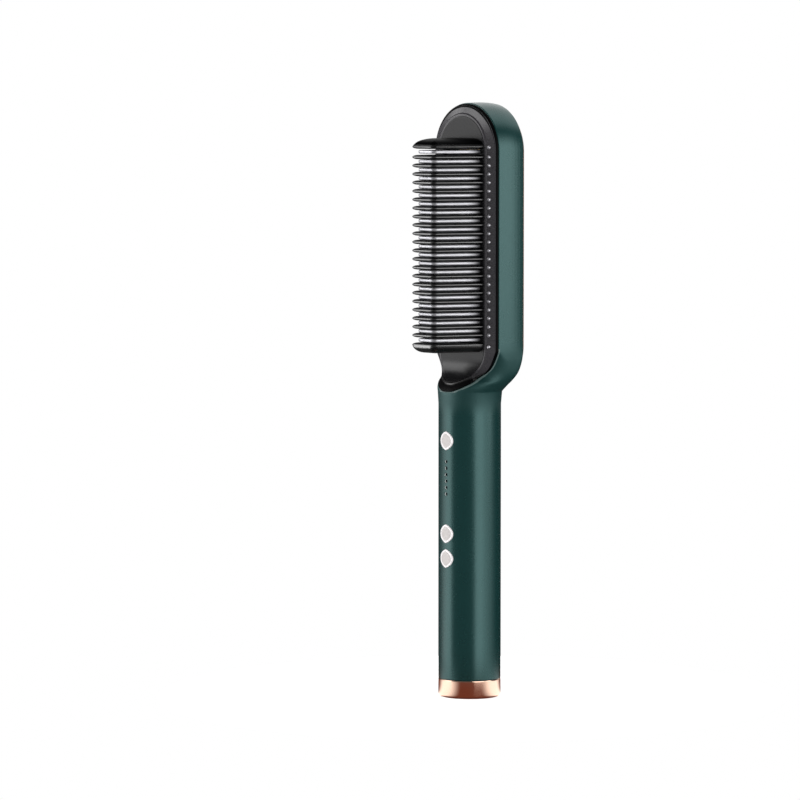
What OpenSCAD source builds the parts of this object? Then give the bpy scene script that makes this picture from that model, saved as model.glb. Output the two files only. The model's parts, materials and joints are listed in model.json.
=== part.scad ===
// Hair straightening brush: a round handle with a long oval head whose front carries a heated comb.
// The origin is the middle of the handle's bottom face. +Z runs up the handle, and the comb points along -Y.

/* [Handle] */
// Radius of the round handle
handle_r = 15; // [14.8:0.1:15.2]
// Thickness of the green shell's wall
wall = 2; // [1.8:0.1:2.1]
// Height of the copper end cap that shows below the shell
cap_h = 8.7; // [8.4:0.1:9.4]
// Rounding of the end cap's bottom edge
cap_edge_r = 1.2; // [0.8:0.2:1.6]

/* [Head] */
// Height from the end cap's bottom to the top of the head
total_h = 285; // [284:0.5:286]
// Half width of the head at its front rim
head_half_w = 23.2; // [23.1:0.1:23.5]
// Narrowing of each side of the head from the front rim to the back face
head_draft = 0.2; // [0.1:0.1:0.4]
// Distance of the head's back face behind the handle's axis
head_back = 14.8; // [14.7:0.1:14.9]
// Distance of the front rim in front of the handle's axis
rim_front = 1.6; // [1.5:0.1:1.7]
// Distance of the comb's flat base in front of the handle's axis
face_front = 5.1; // [5:0.1:5.2]
// Half width of the comb's base plate
base_half_w = 16; // [15.8:0.1:16.1]

/* [Comb] */
// Number of comb ribs, with the two thick end ribs
rib_count = 24; // [22:2:24]
// Distance from one inner rib to the next
rib_pitch = 4.03; // [4.02:0.01:4.05]
// Distance from the top end rib to its neighbour
end_pitch_top = 4.95; // [4.85:0.05:5.05]
// Distance from the bottom end rib to its neighbour
end_pitch_low = 4.55; // [4.5:0.05:4.65]
// Thickness of a rib where it is fullest
rib_t = 2.1; // [2:0.05:2.2]
// Thickness of a heated fin
fin_t = 1.6; // [1.5:0.05:1.65]
// Distance of the rib tips in front of the handle's axis
comb_reach = 30.3; // [30:0.1:31]
// Distance of the fins' front edges in front of the handle's axis
fin_reach = 28.2; // [27.9:0.1:28.4]
// Height of the middle of the comb above the end cap's bottom
comb_mid_z = 216.75; // [216.6:0.05:216.9]

/* [Controls] */
// Height of the power button's centre
power_z = 123.7; // [122.7:0.1:124.2]
// Height of the plus button's centre
plus_z = 79.1; // [78.9:0.1:79.3]
// Height of the minus button's centre
minus_z = 67.2; // [66.4:0.1:67.3]
// Half width of a button
button_half_w = 4.4; // [4.2:0.1:4.5]
// Half height of a button
button_half_h = 4.5; // [4.3:0.1:4.6]
// Distance that a button stands proud of the handle
button_proud = 0.4; // [0.3:0.1:0.5]
// Number of indicator lights
light_count = 6; // [5:1:6]
// Distance from one indicator light to the next
light_pitch = 3.11; // [3:0.01:3.15]
// Height of the lowest indicator light
light_z = 98.1; // [97.5:0.1:98.5]

/* [Cord swivel] */
// Radius of the swivel's bore for the supply cord
cord_bore_r = 3.3; // [3.1:0.1:3.4]
// Running clearance between the swivel and the end cap
swivel_gap = 0.05; // [0.04:0.01:0.08]

/* [Hidden] */
$fn = 64;
eps = 0.01;
seam = 0.08;
neck_low = 141;
neck_high = 168;
bore_r = handle_r - wall;
back_wall = wall + 0.6;
head_arc_z = total_h - head_half_w;

// Stations of the neck between the round handle and the head: height, half width, front, back,
// back corner radius, front corner radius and side draft.
NECK = [
    [neck_low, handle_r - 0.03, handle_r - 0.03, handle_r - 0.03, handle_r - 0.03, handle_r - 0.03, 0],
    [146.5, 15.4, 14.9, 14.95, 14.6, 14.6, 0],
    [149.0, 17.1, 13.4, 14.9, 12.6, 14.2, 0.02],
    [151.4, 18.95, 10.6, 14.85, 10.2, 13.4, 0.05],
    [153.8, 20.5, 7.0, head_back, 7.4, 13.0, 0.1],
    [156.6, 21.85, 4.9, head_back, 5.0, 12.2, 0.15],
    [161.4, 22.95, 4.4, head_back, 2.6, 9.8, 0.2],
    [165.0, head_half_w - 0.03, 4.4, head_back, 1.4, 6.2, head_draft],
    [neck_high, head_half_w, face_front, head_back, 0.9, face_front - rim_front, head_draft],
];
Z = 0;
HALF_W = 1;
FRONT = 2;
BACK = 3;
BACK_R = 4;
FRONT_R = 5;
DRAFT = 6;
corner_steps = 10;

// The seam between the shell and the front frame as height and distance behind the axis, from the handle's
// front up to the rim plane
seam_low = 147;
seam_high = 165;
SEAM = [[145, -18.4], [seam_low, -14.95], [148.3, -13.5], [150.6, -10.4], [152.9, -7], [155.9, -3.5],
    [157.5, -2.45], [159.3, -1.9], [161.5, -0.02 - rim_front], [seam_high, -rim_front]];
SEAM_Y = 1;

// The scoop below the comb is part of a cylinder that lies across the head.
scoop_z = 164;
scoop_r = 14.2;
base_low_z = 167.6;
base_high_z = 262.4;
plate_t = 2.2;

// Outline of the comb in plan
rib_tip_half = 8.3;
rib_base_half = 15.6;
rib_corner_r = 3.7;
rib_edge = 2.6;
fin_tip_half = 6.1;
fin_base_half = 13.2;
fin_corner_r = 3.5;
rib_root = face_front - plate_t + 0.1;
inner_half_h = (rib_count - 3) / 2 * rib_pitch;
top_rib_z = inner_half_h + end_pitch_top;
low_rib_z = -inner_half_h - end_pitch_low;
window_half_w = 13.7;
// Round nubs on the frame, one beside each end of every rib
nub_x = 18.7;
nub_y = -3.4;
nub_h = 1.5;
NUB_ZS = concat([low_rib_z - 0.9], [for (i = [0:rib_count - 3]) i * rib_pitch - inner_half_h], [top_rib_z - 0.4]);
// Levels of the end ribs' rounded outer sides: height above the edge, and how far the outline has drawn in
TOP_LEVELS = [[0, 0], [0.85, 0.5], [1.7, 1.3], [2.5, 2.3], [3.2, 4.0], [3.75, 6.2], [4.0, 8.4]];
LOW_LEVELS = [[0, 0], [1.0, 0.3], [1.8, 0.8], [2.6, 1.6], [3.2, 2.6], [3.55, 3.5], [3.75, 4.6]];

// Trim ring and panel on the back
ring_half_w = 22.3;
ring_low = 147;
ring_high = 283.5;
panel_half_w = 18.85;
panel_low = 152.6;
panel_high = 277.8;
back_recess = 13.6;
ring_face = 15.2;
panel_crown = 0.5;

// Heater stack, as distances behind the handle's axis
plate_front = -2.85;
plate_back = -0.2;
film_t = 0.15;
electrode_t = 0.5;
stone_t = 2.5;
clamp_t = 1.5;
stack_y = [plate_back, plate_back + film_t, plate_back + film_t + electrode_t,
    plate_back + film_t + electrode_t + stone_t, plate_back + film_t + 2 * electrode_t + stone_t,
    plate_back + 2 * film_t + 2 * electrode_t + stone_t];
clamp_y = stack_y[5];
stone_count = 4;
stone_pitch = 23;
fuse_x = 3.2;
fuse_y = clamp_y + clamp_t + 1.65;
fuse_z = 174.7;
fuse_h = 9;
screw_x = 11.2;
screw_zs = [-44, 0, 44];
shield_y = [9.8, 10.6];

// Screws from the back through the shell into the comb guard's pillars: [side, height]
PILLARS = [[8, 272.6], [9.4, 160.6]];
pillar_r = 3;
pillar_back = 10.6;

// Circuit board in the handle
board_y = [-6.2, -4.6];
board_half_w = 10.4;
board_z = [28, 136];
switch_half = 3;
switch_front = -9.7;
plunger_r = 1.6;
flange_y = [-12.3, -11.4];
button_zs = [power_z, plus_z, minus_z];
light_r = 0.55;

// Swivel in the end cap
cap_floor = 3;
swivel_r = 6;
swivel_flange_r = 7.8;
swivel_flange_top = 5;
swivel_neck_top = 12;
spindle_top = 20.5;
slip_ring_zs = [13, 17];
retainer_y = [5.1, 7];
holder_top = 22.8;

// Value in one column of a table of stations at height z, on a smooth curve that is level at both ends
function slope_at(t, i, c) =
    i == 0 || i == len(t) - 1 ? 0 : (t[i + 1][c] - t[i - 1][c]) / (t[i + 1][Z] - t[i - 1][Z]);
function interval(t, z, i = 0) = i >= len(t) - 2 || z < t[i + 1][Z] ? i : interval(t, z, i + 1);
function smooth_at(t, z, c) =
    let (i = interval(t, z), h = t[i + 1][Z] - t[i][Z], s = min(1, max(0, (z - t[i][Z]) / h)))
    t[i][c] * (2 * s ^ 3 - 3 * s ^ 2 + 1) + t[i + 1][c] * (3 * s ^ 2 - 2 * s ^ 3)
        + slope_at(t, i, c) * h * (s ^ 3 - 2 * s ^ 2 + s) + slope_at(t, i + 1, c) * h * (s ^ 3 - s ^ 2);

function arc(x, y, r, a, b, n = corner_steps) =
    [for (i = [0:n]) [x + r * cos(a + (b - a) * i / n), y + r * sin(a + (b - a) * i / n)]];

// Outline of the neck or head at height z, drawn in by an inset at the sides and another at the back
function neck_outline(z, inset = 0, back_inset = 0) =
    let (w = smooth_at(NECK, z, HALF_W) - inset,
        f = smooth_at(NECK, z, FRONT) - inset,
        b = smooth_at(NECK, z, BACK) - back_inset,
        rb = max(0.4, smooth_at(NECK, z, BACK_R) - max(inset, back_inset)),
        rf = max(0.4, smooth_at(NECK, z, FRONT_R) - inset),
        d = smooth_at(NECK, z, DRAFT) / (head_back + rim_front),
        right = concat(arc(w - rf, rf - f, rf, -90, 0), arc(w - rb, b - rb, rb, 0, 90)),
        count = len(right),
        left = [for (i = [0:count - 1]) [-right[count - 1 - i].x, right[count - 1 - i].y]])
    [for (p = concat(right, left)) [p.x - sign(p.x) * d * max(0, p.y + rim_front), p.y]];

// Solid between outlines at rising heights; each outline has the same number of points
module loft(rings) {
    n = len(rings[0]);
    m = len(rings);
    polyhedron(
        points = [for (ring = rings, p = ring) p],
        faces = concat(
            [[for (i = [0:n - 1]) i], [for (i = [0:n - 1]) m * n - 1 - i]],
            [for (j = [0:m - 2], i = [0:n - 1]) [j * n + i, (j + 1) * n + (i + 1) % n, j * n + (i + 1) % n]],
            [for (j = [0:m - 2], i = [0:n - 1]) [j * n + i, (j + 1) * n + i, (j + 1) * n + (i + 1) % n]]));
}

function raise(outline, z) = [for (p = outline) [p.x, p.y, z]];

// Outline that is extruded across the object, from side to side; its points are [y, z]
module across(points, half_w) {
    rotate([90, 0, 90]) linear_extrude(2 * half_w, center = true) polygon(points);
}

// Upright plate with round ends, seen from the front, between two distances behind the axis
module oval_plate(r, low, high, y0, y1) {
    translate([0, y1, 0]) rotate([90, 0, 0]) linear_extrude(y1 - y0) union() {
        translate([0, low + r]) circle(r, $fn = 96);
        translate([0, high - r]) circle(r, $fn = 96);
        translate([-r, low + r]) square([2 * r, high - low - 2 * r]);
    }
}

// Cylinder along Y between two distances behind the axis
module peg(x, z, r, y0, y1) {
    translate([x, y1, z]) rotate([90, 0, 0]) cylinder(r = r, h = y1 - y0);
}

// Box between two corners
module block(low, high) {
    translate(low) cube(high - low);
}

// Whole body of handle, neck and head, drawn in by an inset at the sides and another at the back
module body(inset, back_inset, low, rings) {
    top = neck_outline(neck_high, inset, back_inset);
    translate([0, 0, low]) cylinder(r = handle_r - inset, h = neck_low - low, $fn = 96);
    loft([for (i = [0:rings]) let (z = neck_low + (neck_high - neck_low) * i / rings)
        raise(neck_outline(z, inset, back_inset), z)]);
    translate([0, 0, neck_high]) linear_extrude(head_arc_z - neck_high) polygon(top);
    translate([0, 0, head_arc_z]) rotate([90, 0, 0]) rotate_extrude(angle = 180, $fn = 128)
        polygon([for (p = concat([[0, min([for (q = top) q.y])]], [for (p = top) if (p.x > 0) p],
            [[0, max([for (q = top) q.y])]])) [p.x, -p.y]]);
}

// Distance of the shell's front seam behind the axis at height z
function seam_y(z) = smooth_at(SEAM, min(z, seam_high), SEAM_Y);

// Room in front of the seam
module seam_cut() {
    steps = 30;
    low = 146;
    across(concat([[-50, total_h + 10], [-rim_front, total_h + 10]],
        [for (i = [0:steps]) let (z = seam_high - (seam_high - low) * i / steps) [seam_y(z), z]],
        [[-50, low]]), 40);
}

// Outline of a button: two arcs that meet in a blunt point above and below, drawn out sideways
function button_outline(grow) =
    let (h = button_half_h + grow, w = button_half_w + grow, n = 14, narrow = 0.63 * h,
        r = (h ^ 2 + narrow ^ 2) / (2 * narrow),
        half = [for (i = [0:n]) let (z = -h + 2 * h * i / n)
            [w * (sqrt(r ^ 2 - z ^ 2) - r + narrow) / narrow, z]])
    concat([for (i = [0:n]) half[i]], [for (i = [1:n - 1]) [-half[n - i].x, half[n - i].y]]);

module button_prism(z, grow, y0, y1) {
    translate([0, y1, z]) rotate([90, 0, 0]) linear_extrude(y1 - y0) polygon(button_outline(grow));
}

// Green one-piece shell of head, neck and handle
module housing_shell() {
    color([0.07, 0.2, 0.19]) difference() {
        body(0, 0, cap_h, 27);
        body(wall, back_wall, cap_h - 1, 14);
        seam_cut();
        oval_plate(ring_half_w + seam, ring_low - seam, ring_high + seam, back_recess, head_back + 5);
        for (z = button_zs) {
            button_prism(z, 0.15, -handle_r - 5, -8);
            block([-6.1, flange_y[0] - 0.05, z - 5.6], [6.1, -8, z + 5.6]);
        }
        for (i = [0:light_count - 1])
            peg(0, light_z + i * light_pitch, light_r + 0.05, -handle_r - 5, -10);
        for (p = PILLARS, side = [-1, 1])
            peg(side * p[0], p[1], 1.5, 0, head_back);
    }
}

// Rose gold ring round the back panel
module back_trim_ring() {
    color([0.8, 0.6, 0.5]) difference() {
        union() {
            oval_plate(ring_half_w, ring_low, ring_high, back_recess, ring_face - 0.4);
            oval_plate(ring_half_w - 0.5, ring_low + 0.5, ring_high - 0.5, ring_face - 0.4, ring_face);
        }
        oval_plate(panel_half_w, panel_low, panel_high, back_recess - 1, ring_face + 1);
    }
}

// Green panel inside the ring, crowned across its width
module back_panel() {
    crown_r = panel_half_w ^ 2 / (2 * panel_crown);
    edge = asin(panel_half_w / crown_r);
    crown = arc(0, ring_face - crown_r, crown_r, 90 - edge, 90 + edge, 20);
    color([0.05, 0.16, 0.16]) intersection() {
        oval_plate(panel_half_w - seam, panel_low + seam, panel_high - seam, back_recess, ring_face + 1);
        linear_extrude(total_h) polygon(concat([[panel_half_w, 0]], crown, [[-panel_half_w, 0]]));
    }
}

// Half width of the seam at height z, on the shell's surface drawn in by an inset
function seam_half_w(z, inset) =
    let (r = smooth_at(NECK, z, FRONT_R) - inset, h = smooth_at(NECK, z, FRONT) - inset + seam_y(z),
        w = smooth_at(NECK, z, HALF_W) - inset)
    h >= r ? w : w - r + sqrt(r ^ 2 - (r - max(0, h)) ^ 2);

// Lowest height at which the surface drawn in by an inset stands in front of the seam
function seam_foot(inset, z = seam_low) =
    smooth_at(NECK, z, FRONT) - inset + seam_y(z) > 0 ? z : seam_foot(inset, z + 0.05);

// Distance of the comb's base or scoop in front of the axis at height z
function scoop_front(z) =
    z >= scoop_z ? face_front : face_front + scoop_r - sqrt(scoop_r ^ 2 - (scoop_z - z) ^ 2);

// Cross-section of the front frame, from the top of the head (t = 0) to its lower lip (t = 2)
function frame_section(t) =
    let (tongue = wall + 0.15,
        size = t <= 1 ? 1 : 0.2 + 0.8 * cos(90 * (t - 1)),
        edge = 0.15 + 0.2 * size,
        a = 90 * (1 - t),
        outer_z = t <= 1 ? head_arc_z + (head_half_w - edge) * sin(a)
            : neck_high - (neck_high - seam_low - 0.15) * sin(-a),
        outer_x = t <= 1 ? (head_half_w - edge) * cos(a)
            : t == 2 ? 0 : seam_half_w(outer_z, 0) - edge,
        inner_low = seam_foot(tongue),
        inner_z = t <= 1 ? head_arc_z + (head_half_w - tongue) * sin(a)
            : neck_high - (neck_high - inner_low) * sin(-a),
        inner_x = t <= 1 ? (head_half_w - tongue) * cos(a)
            : t == 2 ? 0 : seam_half_w(inner_z, tongue),
        base_z = (t <= 1 ? base_high_z : base_low_z) + base_half_w * sin(a),
        base_x = base_half_w * cos(a),
        base_y = -scoop_front(base_z))
    [[outer_x, seam_y(outer_z) - 0.05, outer_z],
        [outer_x * (1 - 0.007 * size), seam_y(outer_z) - 0.9 * size, outer_z],
        [outer_x * (1 - 0.04 * size), seam_y(outer_z) - 1.5 * size, outer_z + (t <= 1 ? -0.85 * sin(a) : 0.1)],
        [base_x, base_y, base_z], [base_x, base_y + plate_t, base_z],
        [inner_x, seam_y(inner_z) + 1.4, inner_z], [inner_x, seam_y(inner_z) - 0.05, inner_z]];

// Dark frame round the comb, closed as a loop of cross-sections
module front_frame() {
    top_steps = 14;
    low_steps = 20;
    right = concat([for (i = [0:top_steps]) frame_section(i / top_steps)],
        [for (i = [0:low_steps]) frame_section(1 + i / low_steps)]);
    count = len(right);
    left = [for (i = [1:count - 2]) [for (p = right[count - 1 - i]) [-p.x, p.y, p.z]]];
    loop = concat(right, left);
    n = len(loop[0]);
    m = len(loop);
    color([0.27, 0.27, 0.29]) union() {
        polyhedron(
            points = [for (ring = loop, p = ring) p],
            faces = concat(
                [for (j = [0:m - 1], i = [0:n - 1])
                    [j * n + i, ((j + 1) % m) * n + (i + 1) % n, j * n + (i + 1) % n]],
                [for (j = [0:m - 1], i = [0:n - 1])
                    [j * n + i, ((j + 1) % m) * n + i, ((j + 1) % m) * n + (i + 1) % n]]));
        for (z = NUB_ZS, side = [-1, 1]) translate([side * nub_x, nub_y, comb_mid_z + z]) rotate([90, 0, 0])
            cylinder(r1 = 1, r2 = 0.6, h = nub_h, $fn = 16);
    }
}

// Plan outline of a rib or fin: straight flanks that narrow towards a front with round corners
function comb_outline(tip_half, base_half, reach, corner_r, root, drawn_in = 0) =
    let (tip = tip_half - drawn_in * 0.8, base = base_half - drawn_in * 0.8, front = reach - drawn_in,
        lean = atan((base - tip) / (front - face_front)),
        r = max(0.6, corner_r - drawn_in * 0.5),
        x = tip - r / tan((90 + lean) / 2),
        right = concat(arc(x, r - front, r, -90, -lean, 5), [[base, -face_front], [base, -root]]),
        count = len(right))
    concat(right, [for (i = [0:count - 1]) [-right[count - 1 - i].x, right[count - 1 - i].y]]);

function rib_outline(drawn_in) =
    comb_outline(rib_tip_half, rib_base_half, comb_reach, rib_corner_r, rib_root, drawn_in);

// Comb rib whose rim narrows to an edge on both sides
module rib(z) {
    loft([raise(rib_outline(rib_edge), z - rib_t / 2), raise(rib_outline(0), z),
        raise(rib_outline(rib_edge), z + rib_t / 2)]);
}

// Thick end rib with a rounded outer side above its edge
module end_rib(levels) {
    loft(concat([raise(rib_outline(rib_edge), -rib_t / 2)],
        [for (level = levels) raise(rib_outline(level[1]), level[0])]));
}

// Places its children at each heated fin's height
module at_fins() {
    for (i = [0:rib_count - 4]) translate([0, 0, -inner_half_h + (i + 0.5) * rib_pitch]) children();
    for (z = [-inner_half_h - end_pitch_low / 2, inner_half_h + end_pitch_top / 2]) translate([0, 0, z]) children();
}

// Black guard: base plate with the scoop, ribs in front of it and screw pillars behind it
module comb_guard() {
    module base() {
        intersection() {
            oval_plate(base_half_w - seam, base_low_z - base_half_w + seam,
                base_high_z + base_half_w - seam, -handle_r, 0);
            union() {
                block([-20, -face_front, scoop_z], [20, plate_t - face_front, total_h]);
                difference() {
                    translate([0, -face_front - scoop_r, scoop_z]) rotate([0, 90, 0])
                        cylinder(r = scoop_r + plate_t, h = 40, center = true, $fn = 128);
                    translate([0, -face_front - scoop_r, scoop_z]) rotate([0, 90, 0])
                        cylinder(r = scoop_r, h = 50, center = true, $fn = 128);
                    block([-30, -60, scoop_z], [30, 20, total_h]);
                    block([-30, -60, 100], [30, -face_front - scoop_r, total_h]);
                }
            }
        }
    }
    color([0.09, 0.09, 0.1]) union() {
        difference() {
            base();
            translate([0, 0, comb_mid_z]) block([-window_half_w, -10, low_rib_z], [window_half_w, 5, top_rib_z]);
        }
        for (i = [0:rib_count - 3]) rib(comb_mid_z - inner_half_h + i * rib_pitch);
        translate([0, 0, comb_mid_z + top_rib_z]) end_rib(TOP_LEVELS);
        translate([0, 0, comb_mid_z + low_rib_z]) mirror([0, 0, 1]) end_rib(LOW_LEVELS);
        for (p = PILLARS, side = [-1, 1]) difference() {
            peg(side * p[0], p[1], pillar_r, 0.4 - scoop_front(p[1]), pillar_back);
            peg(side * p[0], p[1], 1.22, 1, pillar_back + 1);
        }
    }
}

// Polished aluminium heater plate with its fins and screw bosses
module heater_fins() {
    half_h = -low_rib_z - 1.6;
    color([0.75, 0.75, 0.77]) translate([0, 0, comb_mid_z]) difference() {
        union() {
            block([-14.4, plate_front, -half_h], [14.4, plate_back, half_h]);
            at_fins() translate([0, 0, -fin_t / 2]) linear_extrude(fin_t)
                polygon(comb_outline(fin_tip_half, fin_base_half, fin_reach, fin_corner_r, -plate_front));
            for (z = screw_zs, side = [-1, 1]) peg(side * screw_x, z, 2.2, plate_back - eps, clamp_y);
        }
        for (z = screw_zs, side = [-1, 1]) peg(side * screw_x, z, 1.02, 0, clamp_y + 1);
    }
}

// Flat layer of the heater stack
module layer(half_w, half_h, y0, y1) {
    translate([0, 0, comb_mid_z]) block([-half_w, y0, -half_h], [half_w, y1, half_h]);
}

module front_film() {
    color([0.75, 0.5, 0.15]) layer(7.4, 46, stack_y[0], stack_y[1]);
}

module rear_film() {
    color([0.75, 0.5, 0.15]) layer(7.4, 46, stack_y[4], stack_y[5]);
}

// Aluminium electrode with a solder tab below the heater
module electrode(y0, y1, tab_x) {
    color([0.8, 0.8, 0.82]) union() {
        layer(6, 45, y0, y1);
        translate([0, 0, comb_mid_z]) block([tab_x - 1.5, y0, -50], [tab_x + 1.5, y1, -45 + eps]);
    }
}

module front_electrode() {
    electrode(stack_y[1], stack_y[2], -4);
}

module rear_electrode() {
    electrode(stack_y[3], stack_y[4], 4);
}

// Ceramic heating stones, side by side between the electrodes
module ptc_elements() {
    color([0.35, 0.33, 0.32]) for (i = [0:stone_count - 1])
        translate([0, 0, comb_mid_z + (i - (stone_count - 1) / 2) * stone_pitch])
            block([-5.5, stack_y[2], -10.5], [5.5, stack_y[3], 10.5]);
}

// Spring steel bar that presses the stack on the plate
module heater_clamp() {
    color([0.6, 0.6, 0.62]) translate([0, 0, comb_mid_z]) difference() {
        union() {
            block([-5, clamp_y, -47], [5, clamp_y + clamp_t, 47]);
            for (z = screw_zs) block([-13.8, clamp_y, z - 3], [13.8, clamp_y + clamp_t, z + 3]);
        }
        for (z = screw_zs, side = [-1, 1]) peg(side * screw_x, z, 1.3, clamp_y - 1, clamp_y + clamp_t + 1);
    }
}

// Pan-head screw along Y whose head rests at y0 and whose shank runs to the front
module screw_from_back(x, z, y0, shank_r, length, head_r, head_h) {
    difference() {
        union() {
            peg(x, z, head_r, y0, y0 + head_h);
            peg(x, z, shank_r, y0 - length, y0 + eps);
        }
        block([x - head_r * 0.6, y0 + head_h * 0.5, z - 0.2], [x + head_r * 0.6, y0 + head_h + 1, z + 0.2]);
        block([x - 0.2, y0 + head_h * 0.5, z - head_r * 0.6], [x + 0.2, y0 + head_h + 1, z + head_r * 0.6]);
    }
}

module heater_screws() {
    color([0.7, 0.7, 0.72]) for (z = screw_zs, side = [-1, 1])
        screw_from_back(side * screw_x, comb_mid_z + z, clamp_y + clamp_t, 1, 5, 1.9, 1.2);
}

// Sheet that keeps the heat from the back of the head
module heat_shield() {
    color([0.85, 0.83, 0.75]) difference() {
        oval_plate(20.4, 164.5, 281.6, shield_y[0], shield_y[1]);
        for (side = [-1, 1]) peg(side * PILLARS[0][0], PILLARS[0][1], pillar_r + 0.2, 5, 15);
    }
}

// Glass bead sensor, clipped on the back of the heater plate
module thermistor() {
    color([0.8, 0.35, 0.2]) translate([-11, plate_back + 1.2, comb_mid_z - 24]) cylinder(r = 1.2, h = 5);
}

module thermal_fuse() {
    color([0.8, 0.8, 0.75]) translate([fuse_x, fuse_y, fuse_z]) cylinder(r = 1.6, h = fuse_h);
}

module guard_screws() {
    color([0.3, 0.3, 0.32]) for (p = PILLARS, side = [-1, 1])
        screw_from_back(side * p[0], p[1], pillar_back, 1.2, 8, 1.4, 2.4);
}

// Round lead along a path of points
module lead(points, r) {
    for (i = [0:len(points) - 2]) let (v = points[i + 1] - points[i], h = norm(v))
        translate(points[i]) rotate([0, acos(v.z / h), atan2(v.y, v.x)]) cylinder(r = r, h = h, $fn = 8);
    for (i = [1:len(points) - 2]) translate(points[i]) sphere(r = 1.1 * r, $fn = 8);
}

// Two supply leads of the heater: one from the front electrode, one through the fuse to the rear electrode
module heater_leads() {
    color([0.85, 0.82, 0.75]) {
        lead([[-4, stack_y[1] - 0.82, 167.5], [-4, 0.2, 158], [-6.5, -1, 148], [-6.5, -3.75, 138],
            [-6.5, -3.75, 126]], 0.8);
        lead([[fuse_x, fuse_y, fuse_z + fuse_h], [fuse_x, fuse_y, 187], [8.3, fuse_y, 187], [8.3, fuse_y, 170],
            [4.6, 6.5, 164.5], [4.6, 5, 156], [6.5, 3, 150], [6.5, -3.75, 138], [6.5, -3.75, 126]], 0.8);
        lead([[fuse_x, fuse_y, fuse_z], [fuse_x, fuse_y, 170], [4, stack_y[4] + 0.55, 168]], 0.5);
    }
}

module sensor_leads() {
    y = plate_back + 1.2;
    color([0.2, 0.2, 0.22]) for (side = [-0.55, 0.55])
        lead([[side - 11, y, comb_mid_z - 24], [side - 11, y, 188], [side - 15.2, 2, 182], [side - 15.2, 2, 157],
            [side - 8, 3.2, 149.5], [side - 2.55, 2.2, 144], [side - 2.55, -4.05, 137.5],
            [side - 2.55, -4.05, 126]], 0.45);
}

// Open tube that clips into the handle and holds the circuit board by its edges
module board_carrier() {
    color([0.15, 0.15, 0.16]) difference() {
        union() {
            difference() {
                translate([0, 0, 26]) cylinder(r = bore_r - 0.1, h = 112);
                translate([0, 0, 25]) cylinder(r = bore_r - 1.7, h = 114);
                block([-20, -20, 25], [20, -8, 139]);
            }
            for (z = [[30, 35], [129, 134]]) intersection() {
                cylinder(r = bore_r - 1, h = 200);
                block([-20, board_y[1], z[0]], [20, board_y[1] + 4.4, z[1]]);
            }
        }
        block([-board_half_w - seam, board_y[0] - 0.03, 25], [board_half_w + seam, board_y[1], 139]);
        for (z = [32.5, 131.5]) peg(0, z, 0.82, -7, -2.1);
        for (x = [-6.5, 6.5]) block([x - 1.5, -5, 128], [x + 1.5, -2.4, 135]);
        block([-3.7, -5, 128], [-1.4, -2.4, 135]);
        for (x = [-6, 6]) block([x - 1.3, -5, 29], [x + 1.3, -2.4, 36]);
    }
}

module circuit_board() {
    color([0.1, 0.35, 0.18]) difference() {
        block([-board_half_w, board_y[0], board_z[0]], [board_half_w, board_y[1], board_z[1]]);
        for (z = [32.5, 131.5]) peg(0, z, 1.1, -8, 0);
    }
}

module board_screws() {
    color([0.7, 0.7, 0.72]) for (z = [32.5, 131.5]) union() {
        peg(0, z, 1.7, board_y[0] - 1.1, board_y[0]);
        peg(0, z, 0.8, board_y[0] - eps, -2.4);
    }
}

module microcontroller() {
    color([0.1, 0.1, 0.1]) union() {
        block([-2, board_y[0] - 1.6, 85.3], [2, board_y[0] - 0.1, 91.3]);
        for (i = [0:3], side = [-1, 1])
            block([side < 0 ? -3 : 2 - eps, board_y[0] - 0.5, 86 + i * 1.27],
                [side < 0 ? -2 + eps : 3, board_y[0], 86.4 + i * 1.27]);
    }
}

module triac() {
    color([0.12, 0.12, 0.12]) difference() {
        union() {
            block([-5, board_y[1], 74], [5, board_y[1] + 4.5, 83]);
            block([-5, board_y[1], 83 - eps], [5, board_y[1] + 1.3, 89.5]);
        }
        peg(0, 86.5, 1.8, -6, 0);
    }
}

module film_capacitor() {
    color([0.75, 0.6, 0.15]) block([-6.5, board_y[1], 39], [6.5, board_y[1] + 7, 52]);
}

module smoothing_capacitor() {
    color([0.15, 0.2, 0.45]) translate([0, board_y[1] + 4, 56]) cylinder(r = 4, h = 13);
}

module varistor() {
    color([0.2, 0.35, 0.7]) translate([0, board_y[1] + 3.6, 93]) cylinder(r = 3.6, h = 3);
}

module indicator_leds() {
    color([0.95, 0.93, 0.85]) for (i = [0:light_count - 1]) translate([0, 0, light_z + i * light_pitch])
        block([-0.5, board_y[0] - 0.7, -0.8], [0.5, board_y[0], 0.8]);
}

// Clear bar with one pin for each indicator light
module light_guide() {
    high = light_z + (light_count - 1) * light_pitch;
    color([0.9, 0.95, 0.95]) union() {
        block([-1.4, -11.4, light_z - 1.5], [1.4, -8.2, high + 1.5]);
        for (z = [light_z - 2.7, high + 1.5 - eps])
            block([-1.4, -11.4, z], [1.4, board_y[0], z + 1.2 + eps]);
        for (i = [0:light_count - 1]) peg(0, light_z + i * light_pitch, light_r, -handle_r + 0.05, -11.3);
    }
}

// Bodies of the three key switches, each bored for its plunger
module tact_switches() {
    color([0.2, 0.2, 0.2]) for (z = button_zs) difference() {
        block([-switch_half, switch_front, z - switch_half], [switch_half, board_y[0], z + switch_half]);
        peg(0, z, plunger_r + 0.06, switch_front - 1, board_y[0] - 1);
    }
}

// Button with a face that follows the handle, a flange behind the wall and a stem
module button(z) {
    color([0.93, 0.9, 0.89]) union() {
        intersection() {
            button_prism(z, 0, -handle_r - 2, flange_y[1]);
            translate([0, 0, z - 10]) cylinder(r = handle_r + button_proud, h = 20, $fn = 96);
        }
        block([-5.5, flange_y[0], z - 5.3], [5.5, flange_y[1], z + 5.3]);
        peg(0, z, 1.4, flange_y[1] - eps, switch_front - 0.7);
    }
}

module plunger(z) {
    color([0.75, 0.72, 0.65]) peg(0, z, plunger_r, switch_front - 0.7, board_y[0] - 1.6);
}

module power_button() {
    button(power_z);
}

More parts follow.
